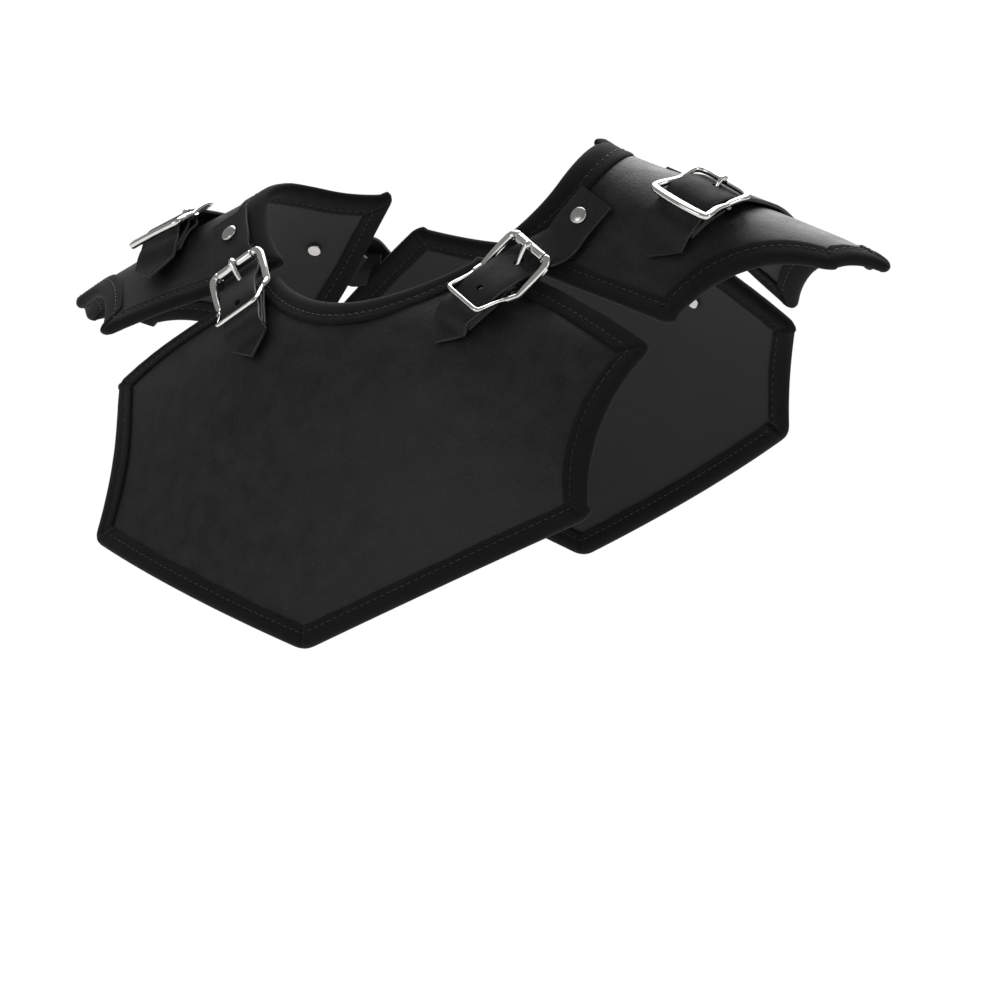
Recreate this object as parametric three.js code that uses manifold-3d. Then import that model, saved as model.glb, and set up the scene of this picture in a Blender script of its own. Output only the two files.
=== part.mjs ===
// A leather gorget: a chest plate, a back plate and two shoulder plates, each edged with a folded
// binding, joined by riveted straps and centre-bar buckles.
// Millimetres, +Z up. The wearer faces -Y, and the wearer's left side is +X. The origin is in the
// middle of the neck opening, between the tops of the two shoulder plates.
import * as THREE from "three";
import Module from "manifold-3d";

// Leather, binding and the gap that touching pieces keep.
const PLATE_THICKNESS = 2.4;
const STRAP_THICKNESS = 1.8;
const CHAPE_THICKNESS = 1.4;
const BINDING_WIDTH = 10;
const BINDING_THICKNESS = 1.1;
const GAP = 0.3;
const CORNER_ROUND = 5;

// The shoulder plates: where the ridge starts beside the neck, and the plate that hangs over it.
const NECK_HALF_WIDTH = 88;
const RIDGE_BACK = 4;
const RIDGE_HEIGHT = 8;
const SHOULDER_LENGTH = 151;
const SHOULDER_SLOPE = 20.5;
const SHOULDER_SWEEP = 7;
const SHOULDER_DROOP = 6;
const SHOULDER_REACH = 78;
const SHOULDER_ARCH = 46;

// The chest plate: middle of its neckline, its length and half width, and its bend round the chest.
const CHEST_TOP = 62;
const CHEST_STAND = 58;
const CHEST_HEIGHT = 156;
const CHEST_HALF_WIDTH = 152;
const CHEST_BEND = 350;
const CHEST_ROLL = -1.4;

// The back plate, likewise.
const BACK_TOP = 6;
const BACK_STAND = 64;
const BACK_HEIGHT = 176;
const BACK_HALF_WIDTH = 140;
const BACK_BEND = 400;

// Straps and rivets.
const FRONT_STRAP_WIDTH = 20;
const SHOULDER_STRAP_WIDTH = 25;
const BACK_STRAP_WIDTH = 18;
const STRAP_POINT = 9;
const CHAPE_RIVET = 10;
const FACET_EASE = 0.5;
const BEND_EASE = 0.6;
const RIVET_HEAD = 8;
const RIVET_SHANK = 3;
const RIVET_DOME = 1.9;
const RIVET_WASHER = 1;

// The two kinds of centre-bar buckle. rootEnd and tipEnd are how far the ends lie from the bar, and
// the lifts how far they rise above it. The front ones have a roller on the root end. chape is the
// length of the folded tab that holds the bar, and tongue that of the strap past the bar.
const FRONT_BUCKLE = {
  width: 28, taper: 0.93, corner: 4, rootEnd: 19, tipEnd: 18, rootLift: 6.2, tipLift: 5.2,
  thickRadius: 1.8, endRadius: 1.4, thinRadius: 1.1, barRadius: 1.3, prongRadius: 1.1,
  rollerRadius: 2.4, rollerLength: 19.4, chape: 24, tongue: 37,
};
const SHOULDER_BUCKLE = {
  width: 32, taper: 1, corner: 6, rootEnd: 13, tipEnd: 14, rootLift: 1.8, tipLift: 4.2,
  thickRadius: 1.6, endRadius: 1.6, thinRadius: 2, barRadius: 1.3, prongRadius: 1.1,
  rollerRadius: 0, rollerLength: 18, chape: 17, tongue: 33,
};

// Chest plate down its middle, from the neckline (0) to the tip (1): its lean from upright, and how
// far its sideways bend opens out.
const CHEST_PROFILE = [
  { down: -0.25, lean: 40, bend: 0.62 },
  { down: 0, lean: 36, bend: 0.72 },
  { down: 0.1, lean: 28, bend: 0.86 },
  { down: 0.2, lean: 18, bend: 1 },
  { down: 0.4, lean: 12, bend: 1.25 },
  { down: 0.7, lean: 9, bend: 1.75 },
  { down: 1, lean: 7, bend: 2 },
];
const BACK_PROFILE = [
  { down: -0.2, lean: 50, bend: 0.5 },
  { down: 0, lean: 46, bend: 0.6 },
  { down: 0.2, lean: 34, bend: 0.8 },
  { down: 0.5, lean: 14, bend: 1.2 },
  { down: 0.8, lean: 2, bend: 1.5 },
  { down: 1.1, lean: -4, bend: 1.7 },
];
// Shoulder plate from the neck (0) to the outer tip (1): how far it droops, and the arch, whose front
// and back have a radius each and end in a straight leg that leans down by so many degrees.
const SHOULDER_PROFILE = [
  { out: -0.15, droop: 0, front: 0.5, frontLean: 76, back: 1.5, backLean: 6 },
  { out: 0.05, droop: 0, front: 0.56, frontLean: 71, back: 1.4, backLean: 16 },
  { out: 0.35, droop: 0, front: 0.75, frontLean: 65, back: 1.2, backLean: 40 },
  { out: 0.6, droop: 0, front: 0.78, frontLean: 59, back: 1.1, backLean: 50 },
  { out: 0.84, droop: 0.15, front: 0.65, frontLean: 53, back: 0.9, backLean: 50 },
  { out: 1.05, droop: 1, front: 0.5, frontLean: 50, back: 0.8, backLean: 50 },
];
// Corners of the flat outlines, as shares of the sizes above. bow is how far the edge to the next
// corner bulges outwards, as a share of its length.
const CHEST_CORNERS = [
  { across: 0, down: 1, bow: 0.005 },
  { across: 0.9, down: 0.66, bow: -0.115 },
  { across: 1, down: 0.18, bow: 0.02 },
  { across: 0.38, down: -0.16, bow: -0.19 },
  { across: -0.38, down: -0.16, bow: 0.02 },
  { across: -1, down: 0.18, bow: -0.115 },
  { across: -0.9, down: 0.66, bow: 0.005 },
];
const BACK_CORNERS = [
  { across: 0, down: 1, bow: 0.005 },
  { across: 0.88, down: 0.7, bow: -0.07 },
  { across: 1, down: 0.42, bow: 0.01 },
  { across: 0.44, down: 0.08, bow: -0.1 },
  { across: -0.44, down: 0.08, bow: 0.01 },
  { across: -1, down: 0.42, bow: -0.07 },
  { across: -0.88, down: 0.7, bow: 0.005 },
];
// out runs from the neck (0) to the tip (1), and round from the ridge to the front edge (-1) or the
// back edge (1).
const SHOULDER_CORNERS = [
  { out: 1, round: 0, bow: -0.06 },
  { out: 0.88, round: 0.32, bow: -0.15 },
  { out: 0.55, round: 1.05, bow: 0.01 },
  { out: -0.16, round: 0.5, bow: -0.2 },
  { out: -0.14, round: -0.88, bow: 0.01 },
  { out: 0.55, round: -1, bow: -0.15 },
  { out: 0.88, round: -0.3, bow: -0.06 },
];
// How each shoulder plate has settled on the wearer: degrees that its front edge and its tip hang
// down, and how far it has slipped back and down. frontBar and shoulderBar are how far out the bars of
// its two buckles sit, and frontRivet the root of its front strap. shoulderBarRound and shoulderSlant
// place and turn the shoulder strap, and tongueCurl lifts that strap's tip off the plate.
const SIDES = [
  {
    name: "left", sign: 1, frontDown: 3, tipDown: 0.5, slipBack: 0, slipDown: 0,
    frontBar: 74, frontRivet: 18, shoulderBar: 65.5, shoulderBarRound: -19.5, shoulderSlant: 0.22, tongueCurl: 1,
  },
  {
    name: "right", sign: -1, frontDown: -11, tipDown: -1.3, slipBack: 7, slipDown: 8.5,
    frontBar: 65.5, frontRivet: 12.2, shoulderBar: 55, shoulderBarRound: -24, shoulderSlant: -0.04, tongueCurl: 4,
  },
];

const wasm = await Module();
wasm.setup();
const vec = (x, y, z) => new THREE.Vector3(x, y, z);
const radians = THREE.MathUtils.degToRad;

// Finishes.
const blackLeather = { color: 0x1f1f20, roughness: 0.5, metalness: 0 };
const wovenTape = { color: 0x121213, roughness: 0.85, metalness: 0 };
const nickel = { color: 0xc9c9c8, roughness: 0.15, metalness: 1 };
const gorget = new THREE.Group();

// A smooth reading of a table at one value of its key column.
function readTable(rows, key, at) {
  let i = 0;
  while (i < rows.length - 2 && at >= rows[i + 1][key]) i += 1;
  const [a, b] = [rows[i], rows[i + 1]];
  const before = rows[Math.max(0, i - 1)];
  const after = rows[Math.min(rows.length - 1, i + 2)];
  const span = b[key] - a[key];
  const f = THREE.MathUtils.clamp((at - a[key]) / span, 0, 1);
  const [f2, f3] = [f * f, f * f * f];
  const read = {};
  for (const column of Object.keys(a)) {
    const slopeA = ((b[column] - before[column]) / (b[key] - before[key])) * span;
    const slopeB = ((after[column] - a[column]) / (after[key] - a[key])) * span;
    read[column] =
      (2 * f3 - 3 * f2 + 1) * a[column] + (f3 - 2 * f2 + f) * slopeA +
      (3 * f2 - 2 * f3) * b[column] + (f3 - f2) * slopeB;
  }
  return read;
}

// A surface turns flat pattern coordinates into a point, and has a normal that faces outwards.
function surfaceFrom(at, outwards) {
  const e = 0.5;
  const normal = (p) => {
    const across = at({ x: p.x + e, y: p.y }).sub(at({ x: p.x - e, y: p.y }));
    const down = at({ x: p.x, y: p.y + e }).sub(at({ x: p.x, y: p.y - e }));
    return vec().crossVectors(down, across).normalize().multiplyScalar(outwards);
  };
  return { at, normal };
}

// A chest or back plate: x is measured round its bend and y down its middle line, which starts at
// the neckline. facing is -1 for the chest and 1 for the back.
function torsoSurface(profile, facing, top, stand, height, bend, roll) {
  const step = 0.02;
  const line = [];
  for (let s = -0.5, f = 0, z = 0; s < 1.3; s += step) {
    line.push({ s, f, z });
    const lean = radians(readTable(profile, "down", s + step / 2).lean);
    f += Math.sin(lean) * step;
    z -= Math.cos(lean) * step;
  }
  const zero = line[Math.round(0.5 / step)];
  const tip = new THREE.Matrix4().makeTranslation(0, 0, -top - height);
  const turn = tip.clone().multiply(new THREE.Matrix4().makeRotationY(radians(roll))).multiply(tip.invert());
  const at = (p) => {
    const s = p.y / height;
    const k = THREE.MathUtils.clamp((s + 0.5) / step, 0, line.length - 1.001);
    const [a, b] = [line[Math.floor(k)], line[Math.floor(k) + 1]];
    const f = THREE.MathUtils.lerp(a.f, b.f, k % 1) - zero.f;
    const z = THREE.MathUtils.lerp(a.z, b.z, k % 1) - zero.z;
    const radius = readTable(profile, "down", s).bend * bend;
    const angle = p.x / radius;
    const y = facing * (stand + f * height - radius * (1 - Math.cos(angle)));
    return vec(radius * Math.sin(angle) * -facing, y, z * height - top).applyMatrix4(turn);
  };
  return surfaceFrom(at, 1);
}

// A shoulder plate: x is measured outwards along the ridge, and y round the arch, with the front
// below zero. The sections stand square to the sloping ridge.
function shoulderSurface(side) {
  const slope = radians(SHOULDER_SLOPE + side.tipDown);
  const sweep = radians(SHOULDER_SWEEP);
  const pitch = radians(side.frontDown);
  const at = (p) => {
    const row = readTable(SHOULDER_PROFILE, "out", p.x / SHOULDER_LENGTH);
    const front = p.y < 0;
    const radius = SHOULDER_ARCH * (front ? row.front : row.back);
    const lean = radians(front ? row.frontLean : row.backLean);
    const length = Math.abs(p.y);
    const turned = Math.sign(lean) * Math.min(length / radius, Math.abs(lean));
    const leg = Math.max(0, length - radius * Math.abs(lean));
    const reach = radius * Math.sin(Math.abs(turned)) + leg * Math.cos(lean);
    const fall = Math.sign(lean) * radius * (1 - Math.cos(turned)) + leg * Math.sin(lean);
    const forward = front ? -reach : reach;
    const back = forward * Math.cos(pitch) + fall * Math.sin(pitch);
    const down = fall * Math.cos(pitch) - forward * Math.sin(pitch) + row.droop * SHOULDER_DROOP;
    const outwards = p.x * Math.cos(slope) - down * Math.sin(slope);
    return vec(
      side.sign * (NECK_HALF_WIDTH + outwards * Math.cos(sweep) - back * Math.sin(sweep)),
      RIDGE_BACK + side.slipBack + outwards * Math.sin(sweep) + back * Math.cos(sweep),
      RIDGE_HEIGHT - side.slipDown - p.x * Math.sin(slope) - down * Math.cos(slope),
    );
  };
  return surfaceFrom(at, -side.sign);
}

// The closed outline of a plate, inset by a distance from its outer edge. Every inset has the same
// number of points, so that insets can be joined point to point.
const ROUND_POINTS = 2;
function outlineOf(corners, pitch, inset) {
  const sharp = corners.map((c) => new THREE.Vector2(c.x, c.y));
  const count = sharp.length;
  const area = THREE.ShapeUtils.area(sharp);
  const edges = sharp.map((a, i) => {
    const chord = sharp[(i + 1) % count].clone().sub(a);
    const half = 2 * Math.atan(2 * corners[i].bow) * Math.sign(area);
    return { chord, half, points: Math.max(2, Math.round(chord.length() / pitch)) };
  });
  const inward = (direction) => new THREE.Vector2(-direction.y, direction.x).multiplyScalar(Math.sign(area));
  const inner = sharp.map((corner, i) => {
    const before = edges[(i + count - 1) % count];
    const arriving = before.chord.clone().normalize().rotateAround(new THREE.Vector2(), before.half);
    const leaving = edges[i].chord.clone().normalize().rotateAround(new THREE.Vector2(), -edges[i].half);
    const mitre = inward(arriving).add(inward(leaving));
    return corner.clone().addScaledVector(mitre, (2 * inset) / mitre.lengthSq());
  });
  const outline = [];
  inner.forEach((start, i) => {
    const end = inner[(i + 1) % count];
    const { half, points } = edges[i];
    const rise = start.distanceTo(end) * Math.tan(half / 2) * 0.5;
    const normal = inward(end.clone().sub(start).normalize()).multiplyScalar(-rise * Math.sign(area));
    const along = (f) => start.clone().lerp(end, f).addScaledVector(normal, 4 * f * (1 - f));
    const cut = Math.max(CORNER_ROUND - inset, 0.6) / start.distanceTo(end);
    for (let k = 0; k <= points; k += 1) outline.push(along(THREE.MathUtils.lerp(cut, 1 - cut, k / points)));
    const next = inner[(i + 2) % count];
    const turnCut = Math.max(CORNER_ROUND - inset, 0.6);
    const leave = end.clone().addScaledVector(next.clone().sub(end).normalize(), turnCut);
    const arrive = outline[outline.length - 1];
    for (let k = 1; k < ROUND_POINTS; k += 1) {
      const f = k / ROUND_POINTS;
      outline.push(arrive.clone().lerp(end, f).lerp(end.clone().lerp(leave, f), f));
    }
  });
  return outline;
}

function isInside(point, outline) {
  let inside = false;
  outline.forEach((a, i) => {
    const b = outline[(i + 1) % outline.length];
    const crosses = a.y > point.y !== b.y > point.y;
    if (crosses && point.x < ((b.x - a.x) * (point.y - a.y)) / (b.y - a.y) + a.x) inside = !inside;
  });
  return inside;
}

// Triangles over an outline filled with staggered rows of inner points.
function fillOutline(outline, net) {
  const points = outline.map((p) => p.clone());
  const bounds = new THREE.Box2().setFromPoints(outline);
  for (let row = 0, y = bounds.min.y + net.y / 2; y < bounds.max.y; row += 1, y += net.y) {
    const middle = (bounds.min.x + bounds.max.x) / 2;
    const half = Math.ceil((bounds.max.x - bounds.min.x) / net.x / 2);
    for (let column = -half; column <= half; column += 1) {
      const point = new THREE.Vector2(middle + (column + (row % 2) / 2) * net.x, y);
      const clear = outline.every((p) => p.distanceTo(point) > net.y * 0.7);
      if (clear && isInside(point, outline)) points.push(point);
    }
  }
  const far = 1e4;
  const all = [...points, new THREE.Vector2(-far, -far), new THREE.Vector2(far, -far), new THREE.Vector2(0, far)];
  let triangles = [[points.length, points.length + 1, points.length + 2]];
  points.forEach((point, index) => {
    const rim = new Map();
    triangles = triangles.filter(([a, b, c]) => {
      const [p, q, r] = [a, b, c].map((k) => all[k].clone().sub(point));
      const inCircle =
        p.lengthSq() * q.cross(r) - q.lengthSq() * p.cross(r) + r.lengthSq() * p.cross(q);
      if (inCircle <= 0) return true;
      for (const [from, to] of [[a, b], [b, c], [c, a]]) {
        if (!rim.delete(`${to},${from}`)) rim.set(`${from},${to}`, [from, to]);
      }
      return false;
    });
    for (const [from, to] of rim.values()) triangles.push([from, to, index]);
  });
  const kept = triangles.filter((triangle) => {
    if (triangle.some((k) => k >= points.length)) return false;
    const middle = triangle.reduce((sum, k) => sum.add(points[k]), new THREE.Vector2()).divideScalar(3);
    return isInside(middle, outline);
  });
  return { points, triangles: kept };
}

// A solid from corner points and triangles, turned the right way out.
function solidFrom(points, triangles) {
  let volume = 0;
  for (const [a, b, c] of triangles) volume += points[a].dot(vec().crossVectors(points[b], points[c]));
  const facing = volume > 0 ? triangles : triangles.map(([a, b, c]) => [a, c, b]);
  return new wasm.Manifold(
    new wasm.Mesh({
      numProp: 3,
      vertProperties: new Float32Array(points.flatMap((p) => [p.x, p.y, p.z])),
      triVerts: new Uint32Array(facing.flat()),
    }),
  );
}

const onSurface = (surface, p, height) => surface.at(p).addScaledVector(surface.normal(p), height);

// A plate of leather: a rim strip that follows the binding, and the net inside it.
function plateSolid(plate) {
  const edge = plate.outline(BINDING_THICKNESS + GAP);
  const inner = plate.outline(BINDING_WIDTH);
  const { points, triangles } = fillOutline(inner, plate.net);
  const flat = [...points, ...edge];
  const count = edge.length;
  const face = [...triangles];
  const backwards = THREE.ShapeUtils.isClockWise(inner);
  for (let i = 0; i < count; i += 1) {
    const next = (i + 1) % count;
    const [a, b] = [points.length + i, points.length + next];
    if (backwards) face.push([a, next, b], [a, i, next]);
    else face.push([a, b, next], [a, next, i]);
  }
  const half = PLATE_THICKNESS / 2;
  const solid = [half, -half].flatMap((height) => flat.map((p) => onSurface(plate.surface, p, height)));
  const all = face.flatMap(([a, b, c]) => [[a, b, c], [a + flat.length, c + flat.length, b + flat.length]]);
  for (let i = 0; i < count; i += 1) {
    let [a, b] = [points.length + i, points.length + ((i + 1) % count)];
    if (backwards) [a, b] = [b, a];
    all.push([b, a, a + flat.length], [b, a + flat.length, b + flat.length]);
  }
  return solidFrom(solid, all);
}

// The binding: a U-shaped section folded over the plate's edge and carried round it.
function bindingSolid(plate) {
  const inside = PLATE_THICKNESS / 2 + GAP;
  const outside = inside + BINDING_THICKNESS;
  const section = [
    { inset: BINDING_WIDTH, height: outside },
    { inset: BINDING_THICKNESS, height: outside },
    { inset: 0, height: inside * 0.6 },
    { inset: 0, height: -inside * 0.6 },
    { inset: BINDING_THICKNESS, height: -outside },
    { inset: BINDING_WIDTH, height: -outside },
    { inset: BINDING_WIDTH, height: -inside },
    { inset: BINDING_THICKNESS, height: -inside },
    { inset: BINDING_THICKNESS, height: inside },
    { inset: BINDING_WIDTH, height: inside },
  ];
  const rings = section.map(({ inset, height }) =>
    plate.outline(inset).map((p) => onSurface(plate.surface, p, height)),
  );
  const [rows, count] = [rings.length, rings[0].length];
  const triangles = [];
  for (let r = 0; r < rows; r += 1) {
    for (let i = 0; i < count; i += 1) {
      const next = (r + 1) % rows;
      const [a, b] = [r * count + i, r * count + ((i + 1) % count)];
      const [c, d] = [next * count + ((i + 1) % count), next * count + i];
      const outwards = section[r].inset > section[next].inset;
      if (outwards) triangles.push([a, b, d], [b, c, d]);
      else triangles.push([a, b, c], [a, c, d]);
    }
  }
  return solidFrom(rings.flat(), triangles);
}

// Hands a finished solid over as a named mesh, with its place kept apart from its shape.
function addMesh(name, solid, finish, place = new THREE.Matrix4()) {
  const { vertProperties, triVerts } = solid.getMesh();
  const geometry = new THREE.BufferGeometry();
  geometry.setAttribute("position", new THREE.BufferAttribute(vertProperties, 3));
  geometry.setIndex(new THREE.BufferAttribute(triVerts, 1));
  geometry.computeVertexNormals();
  const mesh = new THREE.Mesh(geometry, new THREE.MeshStandardMaterial(finish));
  mesh.name = name;
  mesh.applyMatrix4(place);
  gorget.add(mesh);
}

// A three.js geometry as a solid that can be cut and joined.
function solidOf(geometry) {
  const bare = geometry.index ? geometry.toNonIndexed() : geometry;
  const position = bare.getAttribute("position");
  const keys = new Map();
  const points = [];
  const order = [];
  for (let i = 0; i < position.count; i += 1) {
    const point = vec().fromBufferAttribute(position, i);
    const key = point.toArray().map((v) => Math.round(v * 1e4)).join();
    if (!keys.has(key)) keys.set(key, points.push(point) - 1);
    order.push(keys.get(key));
  }
  const triangles = [];
  for (let i = 0; i < order.length; i += 3) {
    const [a, b, c] = order.slice(i, i + 3);
    if (a !== b && b !== c && c !== a) triangles.push([a, b, c]);
  }
  return solidFrom(points, triangles);
}

// A round bar or hole of one size, along Z and centred, or turned to lie along X.
function rodSolid(radius, length, sides, alongX = false) {
  const geometry = new THREE.CylinderGeometry(radius, radius, length, sides);
  return solidOf(alongX ? geometry.rotateZ(Math.PI / 2) : geometry.rotateX(Math.PI / 2));
}

// The place of a fitting: x across the strap, y along it towards its root, z away from the leather.
function placeOn(origin, towardsRoot, normal) {
  const z = normal.clone().normalize();
  const y = towardsRoot.clone().addScaledVector(z, -towardsRoot.dot(z)).normalize();
  return new THREE.Matrix4().makeBasis(vec().crossVectors(y, z), y, z).setPosition(origin);
}

const moved = (solid, place) => solid.transform(place.elements);

// A rivet through a stack of leather. Heights are measured from the middle of the plate.
function addRivet(name, place, stackTop, domeShare) {
  const bottom = -PLATE_THICKNESS / 2 - GAP - FACET_EASE;
  const shank = RIVET_SHANK / 2;
  const head = RIVET_HEAD / 2;
  const top = stackTop + GAP;
  const dome = RIVET_DOME * domeShare;
  const profile = [
    [0, bottom - RIVET_WASHER], [head * 0.8, bottom - RIVET_WASHER], [head * 0.8, bottom], [shank, bottom],
    [shank, top], [head, top], [head * 0.7, top + dome * 0.75], [0, top + dome],
  ].map(([r, z]) => new THREE.Vector2(r, z));
  const solid = solidOf(new THREE.LatheGeometry(profile, 7).rotateX(Math.PI / 2));
  addMesh(name, solid, nickel, place);
}
const rivetHole = (place) => moved(rodSolid(RIVET_SHANK / 2 + GAP, 30, 6), place);

// A flat strap along a smooth route. Each stop has a place, a half width, and either the normal of
// what it lies on or the direction across the strap.
function strapSolid(route, thickness, steps) {
  const curve = new THREE.CatmullRomCurve3(route.map((r) => r.point), false, "centripetal");
  const stations = [];
  for (let i = 0; i < route.length - 1; i += 1) {
    for (let k = 0; k < steps; k += 1) stations.push({ i, f: k / steps });
  }
  stations.push({ i: route.length - 2, f: 1 });
  const points = stations.flatMap(({ i, f }) => {
    const t = (i + f) / (route.length - 1);
    const centre = curve.getPoint(t);
    const tangent = curve.getTangent(t);
    const normal = route[i].normal.clone().lerp(route[i + 1].normal, f);
    const across = (route[i].across || vec().crossVectors(tangent, normal)).clone().normalize();
    const up = vec().crossVectors(across, tangent).normalize();
    const half = THREE.MathUtils.lerp(route[i].half, route[i + 1].half, f);
    return [[1, 1], [-1, 1], [-1, -1], [1, -1]].map(([x, z]) =>
      centre.clone().addScaledVector(across, x * half).addScaledVector(up, (z * thickness) / 2));
  });
  const triangles = [];
  for (let i = 0; i < stations.length - 1; i += 1) {
    for (let k = 0; k < 4; k += 1) {
      const [a, b] = [i * 4 + k, i * 4 + ((k + 1) % 4)];
      triangles.push([a, b, b + 4], [a, b + 4, a + 4]);
    }
  }
  const last = points.length - 4;
  triangles.push([0, 2, 1], [0, 3, 2], [last, last + 1, last + 2], [last, last + 2, last + 3]);
  return solidFrom(points, triangles);
}

// Where the straps lie, in the pattern coordinates of the plates. The stops are distances from a
// strap's root rivet, or from the bar of the shoulder buckle.
const FRONT_BAR_DOWN = -7.5;
const FRONT_LINE = { x: 0.55, y: -0.835 };
const FRONT_RIVET_ROUND = -44;
const FRONT_ROOT_LINE = { x: 0.25, y: 0.97 };
const FRONT_ROOT_STOPS = [11, 0, -6, -14];
const SHOULDER_ROOT_STOPS = [58, 49, 36, 24];
const BACK_STRAP_ROOT = { x: 26, y: 36, slant: -0.1 };
const BACK_STRAP_END = { x: 80, y: 59, slant: 0.65 };
const BACK_UPPER_STOPS = [-8, 0, 13, 26];
// spring is how far the strap stands off the back plate where it comes over its edge.
const BACK_LOWER_STOPS = [
  { along: 27, spring: 5.5 },
  { along: 13, spring: 1.2 },
  { along: 0, spring: 0 },
  { along: -8, spring: 0 },
];
const CHAPE_INSET = 0.5;
const CHAPE_LOOP = [-90, -40, 10, 60, 110];
const CHAPE_RIVET_DOME = 0.35;
const POINT_SHARE = 0.08;
// How far a front strap's tip stands off the chest, and the share of that where its point starts.
const FRONT_CURL = 1.5;
const CURL_START = 0.8;

// The four plates, kept as solids until the rivet holes are cut.
const chestSurface = torsoSurface(
  CHEST_PROFILE, -1, CHEST_TOP, CHEST_STAND, CHEST_HEIGHT, CHEST_BEND, CHEST_ROLL,
);
const backSurface = torsoSurface(BACK_PROFILE, 1, BACK_TOP, BACK_STAND, BACK_HEIGHT, BACK_BEND, 0);
const sized = (corners, x, y, sizeX, sizeY) =>
  corners.map((c) => ({ x: c[x] * sizeX, y: c[y] * sizeY, bow: c.bow }));
const chestCorners = sized(CHEST_CORNERS, "across", "down", CHEST_HALF_WIDTH, CHEST_HEIGHT);
const backCorners = sized(BACK_CORNERS, "across", "down", BACK_HALF_WIDTH, BACK_HEIGHT);
const shoulderCorners = sized(SHOULDER_CORNERS, "out", "round", SHOULDER_LENGTH, SHOULDER_REACH);
const plates = {
  chest: { surface: chestSurface, outline: (w) => outlineOf(chestCorners, 22, w), net: { x: 26, y: 17 } },
  back: { surface: backSurface, outline: (w) => outlineOf(backCorners, 28, w), net: { x: 30, y: 20 } },
};
for (const side of SIDES) {
  plates[`shoulder_${side.name}`] = {
    surface: shoulderSurface(side), outline: (w) => outlineOf(shoulderCorners, 16, w), net: { x: 18, y: 10 },
  };
}
for (const plate of Object.values(plates)) {
  plate.leather = plateSolid(plate);
  plate.binding = bindingSolid(plate);
}

// The frame of a centre-bar buckle: a rounded ring, thick on the root side of its bar and thinner on
// the other, lifted at both ends so that the strap passes under them. x is across and y runs to the root.
function buckleFrame(kind) {
  const halfWidth = kind.width / 2;
  const ring = [];
  const corner = kind.corner;
  const ends = [
    { x: halfWidth, y: kind.rootEnd, thick: kind.thickRadius },
    { x: -halfWidth, y: kind.rootEnd, thick: kind.thickRadius },
    { x: -halfWidth * kind.taper, y: -kind.tipEnd, thick: kind.thinRadius },
    { x: halfWidth * kind.taper, y: -kind.tipEnd, thick: kind.thinRadius },
  ];
  ends.forEach((end, i) => {
    const before = ends[(i + 3) % 4];
    const after = ends[(i + 1) % 4];
    const at = new THREE.Vector2(end.x, end.y);
    const from = at.clone().lerp(new THREE.Vector2(before.x, before.y), corner / at.distanceTo(before));
    const to = at.clone().lerp(new THREE.Vector2(after.x, after.y), corner / at.distanceTo(after));
    for (const f of [0, 0.5, 1]) {
      const p = from.clone().lerp(at, f).lerp(at.clone().lerp(to, f), f);
      ring.push({ x: p.x, y: p.y, thick: end.thick });
    }
    const endBar = kind.rollerLength / 2;
    if (i === 0) for (const x of [endBar, -endBar]) ring.push({ x, y: kind.rootEnd, thick: kind.endRadius });
    if (i === 1) ring.push({ x: -halfWidth, y: 0, thick: kind.thickRadius });
    if (i === 3) ring.push({ x: halfWidth, y: 0, thick: kind.thickRadius });
  });
  const liftAt = (y) => (y > 0 ? kind.rootLift * (y / kind.rootEnd) : kind.tipLift * (-y / kind.tipEnd));
  const sides = 6;
  const points = [];
  ring.forEach((p, i) => {
    const before = ring[(i + ring.length - 1) % ring.length];
    const after = ring[(i + 1) % ring.length];
    const along = new THREE.Vector2(after.x - before.x, after.y - before.y).normalize();
    for (let k = 0; k < sides; k += 1) {
      const angle = ((k + 0.5) / sides) * 2 * Math.PI;
      const out = Math.cos(angle) * p.thick;
      points.push(vec(p.x + along.y * out, p.y - along.x * out, liftAt(p.y) + Math.sin(angle) * p.thick));
    }
  });
  const triangles = [];
  for (let i = 0; i < ring.length; i += 1) {
    for (let k = 0; k < sides; k += 1) {
      const [a, b] = [i * sides + k, i * sides + ((k + 1) % sides)];
      const [c, d] = [a, b].map((v) => (v + sides) % points.length);
      triangles.push([a, b, d], [a, d, c]);
    }
  }
  return solidFrom(points, triangles).add(rodSolid(kind.barRadius, kind.width, sides, true));
}

// The prong: an eye round the bar and a pin that goes through the strap and rests on the root end.
function prongSolid(kind) {
  const inner = kind.barRadius + GAP;
  const outer = inner + kind.prongRadius * 1.4;
  const half = kind.prongRadius;
  const eye = solidOf(new THREE.LatheGeometry(
    [[inner, -half], [outer, -half], [outer, half], [inner, half], [inner, -half]]
      .map(([r, x]) => new THREE.Vector2(r, x)), 8,
  ).rotateZ(Math.PI / 2));
  const rest = kind.rootLift + (kind.rollerRadius || kind.thickRadius) + GAP + kind.prongRadius;
  const route = [
    vec(0, outer * 0.55, outer * 0.6), vec(0, outer * 0.75, strapOverBar(kind) + STRAP_THICKNESS),
    vec(0, kind.rootEnd * 0.45, rest + 0.4), vec(0, kind.rootEnd + kind.prongRadius, rest),
  ];
  const curve = new THREE.CatmullRomCurve3(route);
  const section = new THREE.Shape(
    [0, 1, 2, 3, 4, 5].map((k) => {
      const angle = ((k + 0.5) / 6) * 2 * Math.PI;
      return new THREE.Vector2(Math.cos(angle) * kind.prongRadius, Math.sin(angle) * kind.prongRadius);
    }),
  );
  const pin = new THREE.ExtrudeGeometry(section, { steps: 6, extrudePath: curve, bevelEnabled: false });
  return eye.add(solidOf(pin));
}

// The tube that turns on the root end of a front buckle.
function rollerSolid(kind) {
  const inner = kind.endRadius + GAP;
  const half = kind.rollerLength / 2 - GAP;
  const profile = [[inner, -half], [kind.rollerRadius, -half], [kind.rollerRadius, half], [inner, half], [inner, -half]];
  const points = profile.map(([r, x]) => new THREE.Vector2(r, x));
  return solidOf(new THREE.LatheGeometry(points, 8).rotateZ(Math.PI / 2));
}

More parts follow.
